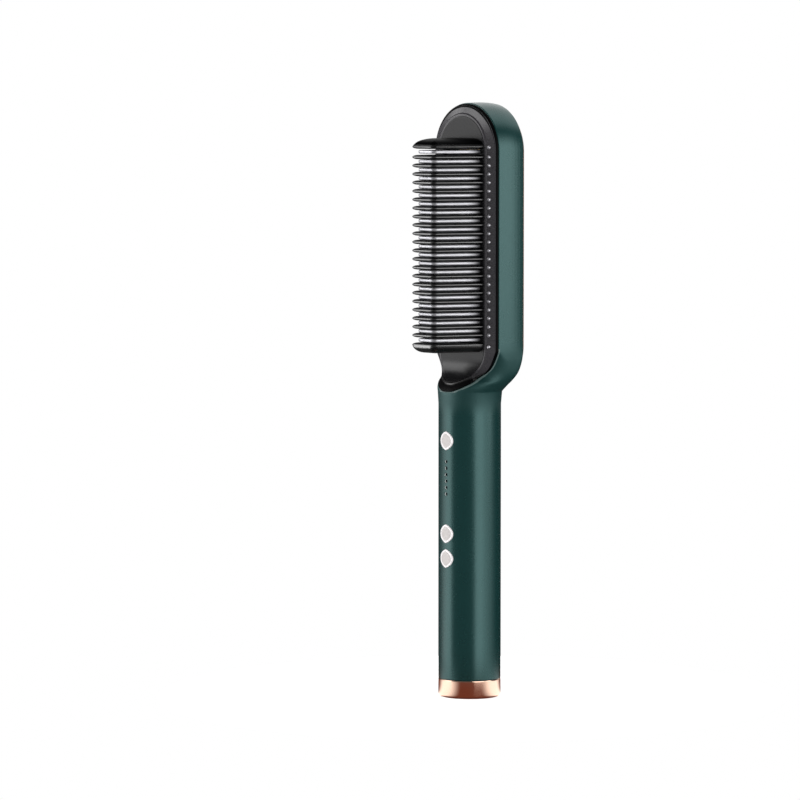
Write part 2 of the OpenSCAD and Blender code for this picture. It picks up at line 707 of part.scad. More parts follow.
module power_plunger() {
    plunger(power_z);
}

module plus_button() {
    button(plus_z);
}

module plus_plunger() {
    plunger(plus_z);
}

module minus_button() {
    button(minus_z);
}

module minus_plunger() {
    plunger(minus_z);
}

// Copper end cap with a spigot inside the handle and a hole for the swivel
module end_cap() {
    spigot_r = bore_r - 0.06;
    inner_r = 11.4;
    color([0.8, 0.5, 0.38]) difference() {
        rotate_extrude($fn = 96) union() {
            polygon(concat([[swivel_r + swivel_gap, 0]],
                arc(handle_r - cap_edge_r, cap_edge_r, cap_edge_r, -90, 0),
                [[handle_r, cap_h], [spigot_r, cap_h], [spigot_r, 17], [inner_r, 17], [inner_r, cap_floor],
                    [swivel_r + swivel_gap, cap_floor]]));
        }
        for (side = [-1, 1]) translate([side * 9.7, 0, 1.2]) cylinder(r = 0.62, h = cap_floor);
    }
    color([0.8, 0.5, 0.38]) for (side = [-1, 1]) difference() {
        translate([side * 9.7, 0, cap_floor]) cylinder(r = 1.6, h = retainer_y[0] - cap_floor);
        translate([side * 9.7, 0, 1.2]) cylinder(r = 0.62, h = retainer_y[0]);
    }
}

// Plate that holds the swivel's flange down
module swivel_retainer() {
    color([0.2, 0.2, 0.22]) difference() {
        translate([0, 0, retainer_y[0]]) cylinder(r = 11.3, h = retainer_y[1] - retainer_y[0]);
        cylinder(r = swivel_r + 0.2, h = 20);
        for (side = [-1, 1]) translate([side * 9.7, 0, 0]) cylinder(r = 0.8, h = 20);
    }
}

module retainer_screws() {
    color([0.7, 0.7, 0.72]) for (side = [-1, 1]) translate([side * 9.7, 0, 0]) union() {
        translate([0, 0, 1.6]) cylinder(r = 0.6, h = retainer_y[1] - 1.6 + eps);
        translate([0, 0, retainer_y[1]]) cylinder(r = 1.4, h = 1);
    }
}

// Swivel that turns with the supply cord, bored from below and carrying the slip rings above
module cord_swivel() {
    color([0.08, 0.08, 0.09]) difference() {
        union() {
            cylinder(r = swivel_r, h = swivel_neck_top);
            translate([0, 0, cap_floor + swivel_gap])
                cylinder(r = swivel_flange_r, h = swivel_flange_top - cap_floor - swivel_gap);
            translate([0, 0, swivel_neck_top]) cylinder(r = 4, h = spindle_top - swivel_neck_top);
        }
        translate([0, 0, -1]) cylinder(r = cord_bore_r, h = swivel_neck_top);
    }
}

module slip_rings() {
    color([0.8, 0.65, 0.3]) for (z = slip_ring_zs) translate([0, 0, z]) difference() {
        cylinder(r = 4.6, h = 2);
        translate([0, 0, -1]) cylinder(r = 4, h = 4);
    }
}

// Cup over the spindle that carries the contact brushes
module brush_holder() {
    color([0.85, 0.83, 0.78]) difference() {
        union() {
            difference() {
                translate([0, 0, retainer_y[1]]) cylinder(r = 11.2, h = holder_top - retainer_y[1]);
                translate([0, 0, retainer_y[1] - 1]) cylinder(r = 9.8, h = 22 - retainer_y[1]);
            }
        }
        for (side = [-1, 1]) translate([side * 9.7, 0, 0]) cylinder(r = 1.7, h = 8.4);
        for (side = [-1, 1]) block([side * 6 - 0.5, -1.8, 15], [side * 6 + 0.5, 1.8, 30]);
    }
}

// Leaf contacts, one for each slip ring
module contact_brushes() {
    color([0.75, 0.6, 0.35]) for (i = [0, 1]) rotate([0, 0, i * 180]) union() {
        block([5.8, -1.5, slip_ring_zs[i] + 0.3], [6.2, 1.5, holder_top + 1.5]);
        block([4.66, -1.2, slip_ring_zs[i] + 0.5], [5.8 + eps, 1.2, slip_ring_zs[i] + 1.5]);
    }
}

module supply_leads() {
    color([0.5, 0.15, 0.12]) for (side = [-1, 1])
        lead([[side * 6, 0, holder_top + 1.52], [side * 6, 0, 25.4], [side * 6, -3.85, 29.6],
            [side * 6, -3.85, 38]], 0.65);
}

housing_shell();
back_trim_ring();
back_panel();
front_frame();
comb_guard();
heater_fins();
front_film();
front_electrode();
ptc_elements();
rear_electrode();
rear_film();
heater_clamp();
heater_screws();
heat_shield();
thermistor();
thermal_fuse();
guard_screws();
heater_leads();
sensor_leads();
board_carrier();
circuit_board();
board_screws();
microcontroller();
triac();
film_capacitor();
smoothing_capacitor();
varistor();
indicator_leds();
light_guide();
tact_switches();
power_button();
power_plunger();
plus_button();
plus_plunger();
minus_button();
minus_plunger();
end_cap();
swivel_retainer();
retainer_screws();
cord_swivel();
slip_rings();
brush_holder();
contact_brushes();
supply_leads();
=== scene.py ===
"""Looks of the hair straightening brush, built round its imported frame.

Sizes are in millimetres until a mesh is made, in the part's own frame: X to the right, -Y to the front, Z up.
"""

import json
import logging
import math
from dataclasses import dataclass
from enum import Enum
from typing import Iterable, Optional, Sequence, Union

import bmesh
import bpy
import numpy as np
from mathutils import Matrix, Vector

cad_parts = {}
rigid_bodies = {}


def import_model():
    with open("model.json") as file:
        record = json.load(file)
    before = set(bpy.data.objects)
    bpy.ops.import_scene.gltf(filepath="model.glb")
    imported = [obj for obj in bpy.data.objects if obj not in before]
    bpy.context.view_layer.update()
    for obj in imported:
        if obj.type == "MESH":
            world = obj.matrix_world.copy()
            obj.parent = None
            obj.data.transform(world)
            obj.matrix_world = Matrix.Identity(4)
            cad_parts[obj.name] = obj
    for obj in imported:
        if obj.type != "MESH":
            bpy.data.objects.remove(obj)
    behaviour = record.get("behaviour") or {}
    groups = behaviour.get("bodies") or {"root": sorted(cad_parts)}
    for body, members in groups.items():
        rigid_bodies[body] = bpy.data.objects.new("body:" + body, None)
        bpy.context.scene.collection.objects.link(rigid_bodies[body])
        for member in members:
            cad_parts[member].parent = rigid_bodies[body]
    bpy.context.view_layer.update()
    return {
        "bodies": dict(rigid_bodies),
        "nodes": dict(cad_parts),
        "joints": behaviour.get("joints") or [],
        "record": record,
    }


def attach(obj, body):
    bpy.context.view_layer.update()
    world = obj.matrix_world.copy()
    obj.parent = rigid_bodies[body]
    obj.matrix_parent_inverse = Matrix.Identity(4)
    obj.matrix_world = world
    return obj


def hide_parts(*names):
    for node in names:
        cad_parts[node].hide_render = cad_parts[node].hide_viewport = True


log = logging.getLogger("brush")
Array = np.ndarray
Colour = tuple[float, float, float]
Point = tuple[float, float, float]
MM = 0.001
QUARTER = math.pi / 2

# Points of a mesh are welded at this many decimals of a millimetre
WELD_DECIMALS = 3
# Faces below this area in square metres are dropped
LEAST_AREA = 1e-13
# Distance in millimetres from the middle plane below which a point lies in it
ON_PLANE = 1e-4
# Angle in degrees between faces above which an edge stays sharp
CREASE = 38.0


@dataclass(frozen=True)
class Sizes:
    """Sizes that several pieces share, the same as in the part's source."""

    handle_r: float = 15.0
    wall: float = 2.0
    back_wall: float = 2.6
    cap_h: float = 8.7
    half_w: float = 23.2
    back: float = 14.8
    rim: float = 1.6
    face: float = 5.1
    neck_low: float = 141.0
    neck_high: float = 168.0
    head_arc_z: float = 261.8
    base_half_w: float = 16.0
    base_low_z: float = 167.6
    base_high_z: float = 262.4
    plate_t: float = 2.2
    scoop_z: float = 164.0
    scoop_r: float = 14.2
    seam: float = 0.08
    ring_half_w: float = 22.3
    ring_low: float = 147.0
    ring_high: float = 283.5
    panel_half_w: float = 18.85
    panel_low: float = 152.6
    panel_high: float = 277.8
    recess: float = 13.6
    ring_face: float = 15.2
    comb_mid_z: float = 216.75
    rib_pitch: float = 4.03
    inner_ribs: int = 22
    end_pitch_top: float = 4.95
    end_pitch_low: float = 4.55
    button_half_w: float = 4.4
    button_half_h: float = 4.5
    button_zs: tuple[float, ...] = (123.7, 79.1, 67.2)
    light_zs: tuple[float, ...] = tuple(98.1 + 3.11 * i for i in range(6))

    @property
    def inner_half_h(self) -> float:
        """Half the distance between the outermost inner ribs."""
        return (self.inner_ribs - 1) / 2 * self.rib_pitch

    @property
    def top_rib_z(self) -> float:
        """Height of the top end rib."""
        return self.comb_mid_z + self.inner_half_h + self.end_pitch_top

    @property
    def low_rib_z(self) -> float:
        """Height of the bottom end rib."""
        return self.comb_mid_z - self.inner_half_h - self.end_pitch_low

    @property
    def inner_rib_zs(self) -> Array:
        """Heights of the ribs between the two end ribs."""
        return self.comb_mid_z - self.inner_half_h + self.rib_pitch * np.arange(self.inner_ribs)


S = Sizes()

# Stations of the neck: height, half width, front, back, back corner radius, front corner radius, side draft
NECK = np.array([
    [S.neck_low, 15.0, 15.0, 15.0, 15.0, 15.0, 0.0],
    [146.5, 15.4, 14.9, 14.95, 14.6, 14.6, 0.0],
    [149.0, 17.1, 13.4, 14.9, 12.6, 14.2, 0.02],
    [151.4, 18.95, 10.6, 14.85, 10.2, 13.4, 0.05],
    [153.8, 20.5, 7.0, 14.8, 7.4, 13.0, 0.1],
    [156.6, 21.85, 4.9, 14.8, 5.0, 12.2, 0.15],
    [161.4, 22.95, 4.4, 14.8, 2.6, 9.8, 0.2],
    [165.0, 23.17, 4.4, 14.8, 1.4, 6.2, 0.2],
    [S.neck_high, S.half_w, S.face, S.back, 0.9, 3.5, 0.2],
])
FRONT_COLUMN = 2
# Seam between the shell and the front frame: height, distance behind the axis
SEAM = np.array([
    [145, -18.4], [147, -14.95], [148.3, -13.5], [150.6, -10.4], [152.9, -7.0], [155.9, -3.5],
    [157.5, -2.45], [159.3, -1.9], [161.5, -1.62], [165, -1.6],
])


def smooth_rise(share: Array) -> Array:
    """Smooth rise from 0 to 1 while a share goes from 0 to 1."""
    share = np.clip(share, 0, 1)
    return share**2 * (3 - 2 * share)


def unit(vectors: Array) -> Array:
    """Vectors brought to length 1."""
    return vectors / np.maximum(1e-9, np.linalg.norm(vectors, axis=-1, keepdims=True))


def circle(steps: int) -> Array:
    """Angles of points spaced evenly round a circle."""
    return np.linspace(0, 2 * math.pi, steps, endpoint=False)


def smooth_at(table: Array, z: Union[float, Array], column: int) -> Array:
    """Value of a column of stations at height z.

    Between two stations it is a cubic. Its slope at a station is that of the line through the two neighbours,
    and nought at both ends of the table.

    Args:
        table: stations, with their heights in column 0.
        z: heights.
        column: column to read.

    Returns:
        The values, in the shape of z.
    """
    z = np.asarray(z, float)
    heights, values = table[:, 0], table[:, column]
    slopes = np.zeros_like(values)
    slopes[1:-1] = (values[2:] - values[:-2]) / (heights[2:] - heights[:-2])
    i = np.clip(np.searchsorted(heights, z, side="right") - 1, 0, len(heights) - 2)
    h = heights[i + 1] - heights[i]
    s = np.clip((z - heights[i]) / h, 0, 1)
    return (
        values[i] * (2 * s**3 - 3 * s**2 + 1)
        + values[i + 1] * (3 * s**2 - 2 * s**3)
        + slopes[i] * h * (s**3 - 2 * s**2 + s)
        + slopes[i + 1] * h * (s**3 - s**2)
    )


def seam_y(z: Union[float, Array]) -> Array:
    """Distance of the seam behind the axis at height z."""
    return smooth_at(SEAM, z, 1)


def seam_slope(z: Array) -> Array:
    """Slope of the seam at height z, from two heights close to it."""
    step = 0.02
    return (seam_y(z + step) - seam_y(z - step)) / (2 * step)


def front_foot(inset: float, low: float, high: float, count: int) -> float:
    """Lowest of a row of heights at which the body, drawn in by an inset, stands in front of the seam."""
    z = np.linspace(low, high, count)
    return float(z[np.argmax(smooth_at(NECK, z, FRONT_COLUMN) - inset + seam_y(z) > 0)])


def scoop_front(z: Array) -> Array:
    """Distance of the comb's base in front of the axis: flat above the scoop, a circle below it.

    Args:
        z: heights.

    Returns:
        The distances.
    """
    margin = 0.01
    below = np.clip(S.scoop_z - z, 0, S.scoop_r - margin)
    return S.face + S.scoop_r - np.sqrt(S.scoop_r**2 - below**2)


def fillet_drop(distance: Array, radius: float) -> Array:
    """How far a surface sinks at a distance from an edge that is rounded to a quarter circle."""
    into = np.clip(radius - np.maximum(distance, 0), 0, radius)
    return radius - np.sqrt(radius**2 - into**2)


# Shares of a path's length, closer together near its start, where an edge is rounded
SHARES = np.concatenate([[0, 0.003, 0.0065, 0.011, 0.018, 0.028, 0.042], np.linspace(0.06, 1, 62)])

# Steps on each straight part of the body's outline, points on each corner, and what follows from them
STRAIGHT = 8
CORNER = 25
FRONT_COUNT = STRAIGHT + CORNER
BACK_START = FRONT_COUNT + STRAIGHT

# Least radius of a corner
LEAST_CORNER_R = 0.4
# Where the side starts to bend in, and the share of the quarter ellipse that it follows
BEND_Y = 5.0
BEND_LIMIT = 0.985
# Height at which the head's bend and crown start to grow
GROWN_LOW_Z = 154
# How far the side's crown draws the rim in, where it starts, and how far in front of that it ends
CROWN = 0.35
CROWN_Y = 9
CROWN_REACH = 14


def outline(z: Array, inset: float = 0, back_inset: float = 0, side_round: float = 0) -> Array:
    """Right half of the body's outline at each height, from the front's middle to the back's middle.

    It is a rectangle with two quarter circles for corners. Its side leans in towards the back in
    proportion to the distance behind the rim, and its last part bends in as a quarter ellipse. Towards the
    front it draws in with the square of the distance.

    Args:
        z: heights, one for each row.
        inset: how far the front and side are drawn in.
        back_inset: how far the back is drawn in.
        side_round: how far the quarter ellipse bends the side in at the back of the head.

    Returns:
        An array of rows, points and (x, y).
    """
    w, f, b, rb, rf, draft = (smooth_at(NECK, z, c)[:, None] for c in range(1, NECK.shape[1]))
    w, f, b = w - inset, f - inset, b - back_inset
    rb = np.maximum(LEAST_CORNER_R, rb - max(inset, back_inset))
    rf = np.maximum(LEAST_CORNER_R, rf - inset)
    q = np.linspace(0, QUARTER, CORNER)[None, :]
    t = np.linspace(0, 1, STRAIGHT + 1)[None, :]
    x = np.concatenate([
        t[:, :-1] * (w - rf), w - rf + rf * np.sin(q), w + 0 * t[:, 1:],
        w - rb + rb * np.cos(q), (1 - t[:, 1:]) * (w - rb)], 1)
    y = np.concatenate([
        -f + 0 * t[:, :-1], rf - f - rf * np.cos(q), rf - f + t[:, 1:] * (b - rb - rf + f),
        b - rb + rb * np.sin(q), b + 0 * t[:, 1:]], 1)
    lean = draft * np.maximum(0, y + S.rim) / (S.back + S.rim)
    s = np.clip((y - BEND_Y) / (S.back - BEND_Y), 0, BEND_LIMIT)
    grown = np.clip((z[:, None] - GROWN_LOW_Z) / (S.neck_high - GROWN_LOW_Z), 0, 1)
    crown = CROWN * (np.clip(CROWN_Y - y, 0, CROWN_REACH) / (CROWN_Y + S.rim)) ** 2
    bend = grown * (side_round * (1 - np.sqrt(1 - s**2)) + crown)
    return np.stack([x * (1 - (lean + bend) / w), y], -1)


def lengths_along(path: Array) -> Array:
    """Length along each row's path up to each of its points."""
    steps = np.linalg.norm(np.diff(path, axis=1), axis=-1)
    return np.concatenate([np.zeros((len(path), 1)), np.cumsum(steps, axis=1)], 1)


def read_rows(at: Array, known: Array, values: Array) -> Array:
    """Values at the given places, row by row, on straight lines between the known ones."""
    return np.array([np.interp(a, k, v) for a, k, v in zip(at, known, values)])


def part_of_path(path: Array, start: Array, end: Array) -> Array:
    """Points of each row's path at the shares of the way between two lengths along it.

    Args:
        path: rows of points.
        start: length at which each row's part starts.
        end: length at which it ends.

    Returns:
        The points, in as many rows.
    """
    lengths = lengths_along(path)
    at = start[:, None] + (end - start)[:, None] * SHARES
    return np.stack([read_rows(at, lengths, path[..., k]) for k in (0, 1)], -1)


def stadium(radius: float, low: float, high: float, arc: int, side: int) -> Array:
    """Outline of an upright plate with round ends, as (x, z), starting low on its right side.

    Args:
        radius: half width of the outline.
        low: height of the lower arc's centre.
        high: height of the upper arc's centre.
        arc: steps on each half circle.
        side: steps on each straight side.

    Returns:
        An array of points and (x, z).
    """
    turn = np.linspace(0, math.pi, arc + 1)
    rise = np.linspace(0, 1, side + 1)[1:-1]
    up = low + (high - low) * rise
    x = np.concatenate([np.cos(turn), -np.ones_like(rise), np.cos(turn + math.pi), np.ones_like(rise)])
    z = np.concatenate([high + radius * np.sin(turn), up[::-1], low + radius * np.sin(turn + math.pi), up])
    return np.stack([radius * x, z], -1)


def pointed_half(distance: Array, half_w: float, half_h: float) -> Array:
    """Half width of a button's outline at a distance above or below its middle.

    The outline is two arcs that meet in a blunt point above and below.

    Args:
        distance: distances from the middle.
        half_w: greatest half width.
        half_h: half height.

    Returns:
        The half widths.
    """
    narrow = 0.63 * half_h
    r = (half_h**2 + narrow**2) / (2 * narrow)
    return half_w * (np.sqrt(r**2 - distance**2) - r + narrow) / narrow


def softened(points: Array) -> Array:
    """Polyline with its corners cut twice at a quarter and three quarters of each length, ends kept.

    Args:
        points: the polyline's points.

    Returns:
        The softened polyline's points.
    """
    for _ in range(2):
        low, high = points[:-1], points[1:]
        cut = np.stack([0.75 * low + 0.25 * high, 0.25 * low + 0.75 * high], 1)
        points = np.concatenate([points[:1], cut.reshape(-1, points.shape[1]), points[-1:]])
    return points


class Shape:
    """Mesh under construction: grids and flat faces of points in millimetres."""

    def __init__(self) -> None:
        """Starts with no points."""
        self.points: list[Array] = []
        self.faces: list[Array] = []
        self.marks: list[Array] = []
        self.count = 0

    def _add(self, points: Array, faces: Array, mark: int) -> None:
        """Adds points and the faces between them.

        Args:
            points: array whose last axis is (x, y, z).
            faces: numbers of each face's points.
            mark: number of the material that the faces take.
        """
        self.points.append(points.reshape(-1, 3))
        self.faces.append(faces + self.count)
        self.marks.append(np.full(len(faces), mark))
        self.count += len(self.points[-1])

    def grid(
        self, points: Array, wrap_rows: bool = False, wrap_columns: bool = False, mark: int = 0
    ) -> "Shape":
        """Adds a grid of points with a four-sided face between each two rows and columns.

        Args:
            points: array of rows, columns and (x, y, z).
            wrap_rows: also join the last row to the first.
            wrap_columns: also join the last column to the first.
            mark: number of the material that the faces take.

        Returns:
            This shape.
        """
        m, n = points.shape[:2]
        rows = np.arange(m if wrap_rows else m - 1)[:, None]
        cols = np.arange(n if wrap_columns else n - 1)[None, :]
        after_row, after_col = (rows + 1) % m, (cols + 1) % n
        quads = np.stack([
            rows * n + cols, rows * n + after_col, after_row * n + after_col, after_row * n + cols], -1)
        self._add(points, quads.reshape(-1, 4), mark)
        return self

    def flat(self, loop: Array, mark: int = 0) -> "Shape":
        """Adds one flat face inside a closed loop of points."""
        self._add(loop, np.arange(len(loop))[None, :], mark)
        return self

    def copies(self, offsets: Iterable[Point]) -> "Shape":
        """Repeats everything so far at each offset.

        Args:
            offsets: how far each copy is moved.

        Returns:
            The copies, as a new shape.
        """
        points = np.concatenate(self.points)
        many = Shape()
        for offset in offsets:
            many.faces += [faces + many.count for faces in self.faces]
            many.marks += self.marks
            many.points.append(points + offset)
            many.count += len(points)
        return many

    def join(self, other: "Shape") -> "Shape":
        """Adds another shape's points and faces.

        Args:
            other: the shape to add.

        Returns:
            This shape.
        """
        self.faces += [faces + self.count for faces in other.faces]
        self.points += other.points
        self.marks += other.marks
        self.count += other.count
        return self

    def mirrored(self) -> "Shape":
        """Adds the mirror image across the middle plane, and drops faces that lie in that plane.

        Returns:
            This shape.
        """
        points = np.concatenate(self.points)
        on_plane = np.abs(points[:, 0]) < ON_PLANE
        kept = [~on_plane[faces].all(1) for faces in self.faces]
        self.faces = [faces[k] for faces, k in zip(self.faces, kept)]
        self.marks = [mark[k] for mark, k in zip(self.marks, kept)]
        count = self.count
        self.faces += [faces[:, ::-1] + count for faces in self.faces]
        self.marks += self.marks
        self.points = [points, points * (-1, 1, 1)]
        self.count = 2 * count
        return self

    def build(
        self, name: str, materials: Sequence[bpy.types.Material], crease: float = CREASE
    ) -> bpy.types.Object:
        """Welds the points, drops faces without area, turns faces outwards and makes the object.

        Args:
            name: name of the piece.
            materials: one material for each mark.
            crease: angle in degrees between faces above which an edge stays sharp.

        Returns:
            The new object, in metres, at the origin.
        """
        points = np.concatenate(self.points)
        welded = np.round(points, WELD_DECIMALS)
        _, first, place = np.unique(welded, axis=0, return_index=True, return_inverse=True)
        place = place.reshape(-1)
        faces, marks = [], []
        for group, mark in zip(self.faces, self.marks):
            for face, number in zip(place[group], mark):
                ring = [int(v) for v, w in zip(face, np.roll(face, 1)) if v != w]
                if len(set(ring)) == len(ring) > 2:
                    faces.append(ring)
                    marks.append(int(number))
        mesh = bpy.data.meshes.new(name)
        mesh.from_pydata((points[first] * MM).tolist(), [], faces)
        for material in materials:
            mesh.materials.append(material)
        mesh.polygons.foreach_set("material_index", marks)
        work = bmesh.new()
        work.from_mesh(mesh)
        thin = [f for f in work.faces if f.calc_area() < LEAST_AREA]
        bmesh.ops.delete(work, geom=thin, context="FACES_ONLY")
        loose = [v for v in work.verts if not v.link_faces]
        bmesh.ops.delete(work, geom=loose, context="VERTS")
        bmesh.ops.recalc_face_normals(work, faces=work.faces)
        if work.calc_volume(signed=True) < 0:
            bmesh.ops.reverse_faces(work, faces=work.faces)
        work.to_mesh(mesh)
        work.free()
        mesh.polygons.foreach_set("use_smooth", [True] * len(mesh.polygons))
        mesh.set_sharp_from_angle(angle=math.radians(crease))
        made = bpy.data.objects.new(name, mesh)
        bpy.context.scene.collection.objects.link(made)
        return made


def box_shape(low: Sequence[float], high: Sequence[float], edge: float = 0.2) -> Shape:
    """Box between two corners with its edges cut at 45 degrees, as rings of eight points up its height.

    Args:
        low: corner with the least x, y and z.
        high: the opposite corner.
        edge: size of the cut.

    Returns:
        The box.
    """
    lo, hi = np.array(low, float), np.array(high, float)
    e = min(edge, *((hi - lo) / 3))

    def ring(cut: float, z: float) -> Array:
        """Rectangle whose corners are cut, drawn in by the cut.

        Args:
            cut: how far the ring is drawn in.
            z: its height.

        Returns:
            Its eight points.
        """
        x0, y0, x1, y1 = lo[0] + cut, lo[1] + cut, hi[0] - cut, hi[1] - cut
        xy = [
            (x0 + e, y0), (x1 - e, y0), (x1, y0 + e), (x1, y1 - e),
            (x1 - e, y1), (x0 + e, y1), (x0, y1 - e), (x0, y0 + e)]
        return np.array([(x, y, z) for x, y in xy])

    rings = np.stack([ring(e, lo[2]), ring(0, lo[2] + e), ring(0, hi[2] - e), ring(e, hi[2])])
    return Shape().grid(rings, wrap_columns=True).flat(rings[0]).flat(rings[-1])


def lathe(profile: Array, steps: int = 96) -> Shape:
    """Closed profile of (radius, z) points turned round the Z axis.

    Args:
        profile: the points.
        steps: steps round the axis.

    Returns:
        The turned shape.
    """
    turn = circle(steps)[:, None]
    radius, z = profile.T
    points = np.stack([radius * np.cos(turn), radius * np.sin(turn), z + 0 * turn], -1)
    return Shape().grid(points, wrap_rows=True, wrap_columns=True)


def turned_pin(profile: Array, marks: Sequence[int], steps: int = 20) -> Shape:
    """Profile of (radius, y) points turned round the Y axis and closed at both ends.

    Args:
        profile: the points, from the root to the tip.
        marks: number of the material of each step, and last that of the tip's flat end.
        steps: steps round the axis.

    Returns:
        The pin.
    """
    turn = circle(steps)[None, :]
    radius, y = profile[:, :1], profile[:, 1:]
    points = np.stack([radius * np.cos(turn), y + 0 * turn, radius * np.sin(turn)], -1)
    shape = Shape()
    for row, mark in enumerate(marks[:-1]):
        shape.grid(points[row:row + 2], wrap_columns=True, mark=mark)
    return shape.flat(points[0], marks[0]).flat(points[-1], marks[-1])


def peg(x: float, z: float, r: float, y0: float, y1: float) -> Shape:
    """Round peg along Y between two distances behind the axis, with cut edges.

    Args:
        x: place of its middle to the right.
        z: height of its middle.
        r: its radius.
        y0: where it starts.
        y1: where it ends.

    Returns:
        The peg.
    """
    edge = 0.1
    profile = np.array([[r - edge, y0], [r, y0 + edge], [r, y1 - edge], [r - edge, y1]])
    return turned_pin(profile, [0] * len(profile), 32).copies([(x, 0, z)])


class Value:
    """Socket of a shader node, with arithmetic that adds Math nodes."""

    def __init__(self, graph: "Graph", socket: bpy.types.NodeSocket) -> None:
        """Keeps the socket and the graph that it is in."""
        self.graph = graph
        self.socket = socket

    def _math(self, operation: str, *terms: Union["Value", float]) -> "Value":
        """Result of a Math node on these terms."""
        return self.graph.node("ShaderNodeMath", dict(enumerate(terms)), operation=operation)

    def __add__(self, other: Union["Value", float]) -> "Value":
        """Sum."""
        return self._math("ADD", self, other)

    __radd__ = __add__

    def __sub__(self, other: Union["Value", float]) -> "Value":
        """Difference."""
        return self._math("SUBTRACT", self, other)

    def __rsub__(self, other: float) -> "Value":
        """Difference from a number."""
        return self._math("SUBTRACT", other, self)

    def __mul__(self, other: Union["Value", float]) -> "Value":
        """Product."""
        return self._math("MULTIPLY", self, other)

    __rmul__ = __mul__

    def larger(self, other: Union["Value", float]) -> "Value":
        """The larger of two."""
        return self._math("MAXIMUM", self, other)

    def step(self, low: float, high: float) -> "Value":
        """Smooth rise from 0 at low to 1 at high."""
        inputs = {"Value": self, "From Min": low, "From Max": high}
        return self.graph.node("ShaderNodeMapRange", inputs, interpolation_type="SMOOTHSTEP")


class Graph:
    """Node tree of a material, world or lamp, built from Python expressions."""

    def __init__(self, owner: Union[bpy.types.Material, bpy.types.World, bpy.types.Light]) -> None:
        """Clears the owner's node tree.

        Args:
            owner: the material, world or lamp.
        """
        owner.use_nodes = True
        self.tree = owner.node_tree
        self.tree.nodes.clear()

    def node(
        self, kind: str, inputs: Optional[dict] = None, output: Union[int, str] = 0, **settings: str
    ) -> Value:
        """Adds a node, sets it up and links it.

        Args:
            kind: the node's type.
            inputs: values or links of its sockets, by name or number.
            output: which of its outputs to return.
            **settings: its properties, such as a Math node's operation.

        Returns:
            That output.
        """
        made = self.tree.nodes.new(kind)
        for key, value in settings.items():
            setattr(made, key, value)
        for key, value in (inputs or {}).items():
            socket = made.inputs[key]
            if isinstance(value, Value):
                self.tree.links.new(value.socket, socket)
            elif isinstance(value, tuple) and socket.type == "RGBA":
                socket.default_value = (*value, 1)
            else:
                socket.default_value = value
        return Value(self, made.outputs[output]) if made.outputs else Value(self, None)

    def noise(self, scale: float, detail: float, roughness: float, stretch: Point) -> Value:
        """Noise on the object's own coordinates, from 0 to 1.

        Args:
            scale: cycles a metre.
            detail: number of finer layers.
            roughness: share that each finer layer adds.
            stretch: factor on each axis.

        Returns:
            The noise.
        """
        place = self.node("ShaderNodeTexCoord", output="Object")
        mapped = self.node("ShaderNodeMapping", {"Vector": place, "Scale": stretch})
        inputs = {"Vector": mapped, "Scale": scale, "Detail": detail, "Roughness": roughness}
        return self.node("ShaderNodeTexNoise", inputs)

    def along(self, axis: str) -> Value:
        """Place along an axis of the object, in metres."""
        return self.part(self.node("ShaderNodeTexCoord", output="Object"), axis)

    def part(self, vector: Value, axis: str) -> Value:
        """One part of a vector."""
        return self.node("ShaderNodeSeparateXYZ", {"Vector": vector}, axis)

    def dot(self, vector: Value, direction: Point) -> Value:
        """Dot product of a vector and a fixed direction."""
        return self.node("ShaderNodeVectorMath", {0: vector, 1: direction}, "Value", operation="DOT_PRODUCT")

    def mix(self, factor: Value, first: Union[Value, Colour], second: Union[Value, Colour]) -> Value:
        """Blend of two colours."""
        return self.node("ShaderNodeMix", {0: factor, 6: first, 7: second}, 2, data_type="RGBA")

    def rays(self) -> tuple[Value, Value]:
        """Whether a ray shows, directly or through a clear surface, and whether it is a gloss ray.

        Returns:
            Both, as 0 or 1.
        """
        names = ("Camera", "Transmission", "Glossy")
        camera, clear, gloss = (self.node("ShaderNodeLightPath", output=f"Is {name} Ray") for name in names)
        return camera.larger(clear), gloss


def towards(azimuth: float, lift: float = 0) -> Point:
    """Direction at an azimuth, from the front towards the right, and a lift above the floor, in degrees."""
    a, b = math.radians(azimuth), math.radians(lift)
    return (math.sin(a) * math.cos(b), -math.cos(a) * math.cos(b), math.sin(b))


def srgb(red: float, green: float, blue: float) -> Colour:
    """Linear colour of a colour given as it shows on a screen, from 0 to 255."""
    parts = (c / 255 for c in (red, green, blue))
    return tuple(c / 12.92 if c <= 0.04045 else ((c + 0.055) / 1.055) ** 2.4 for c in parts)


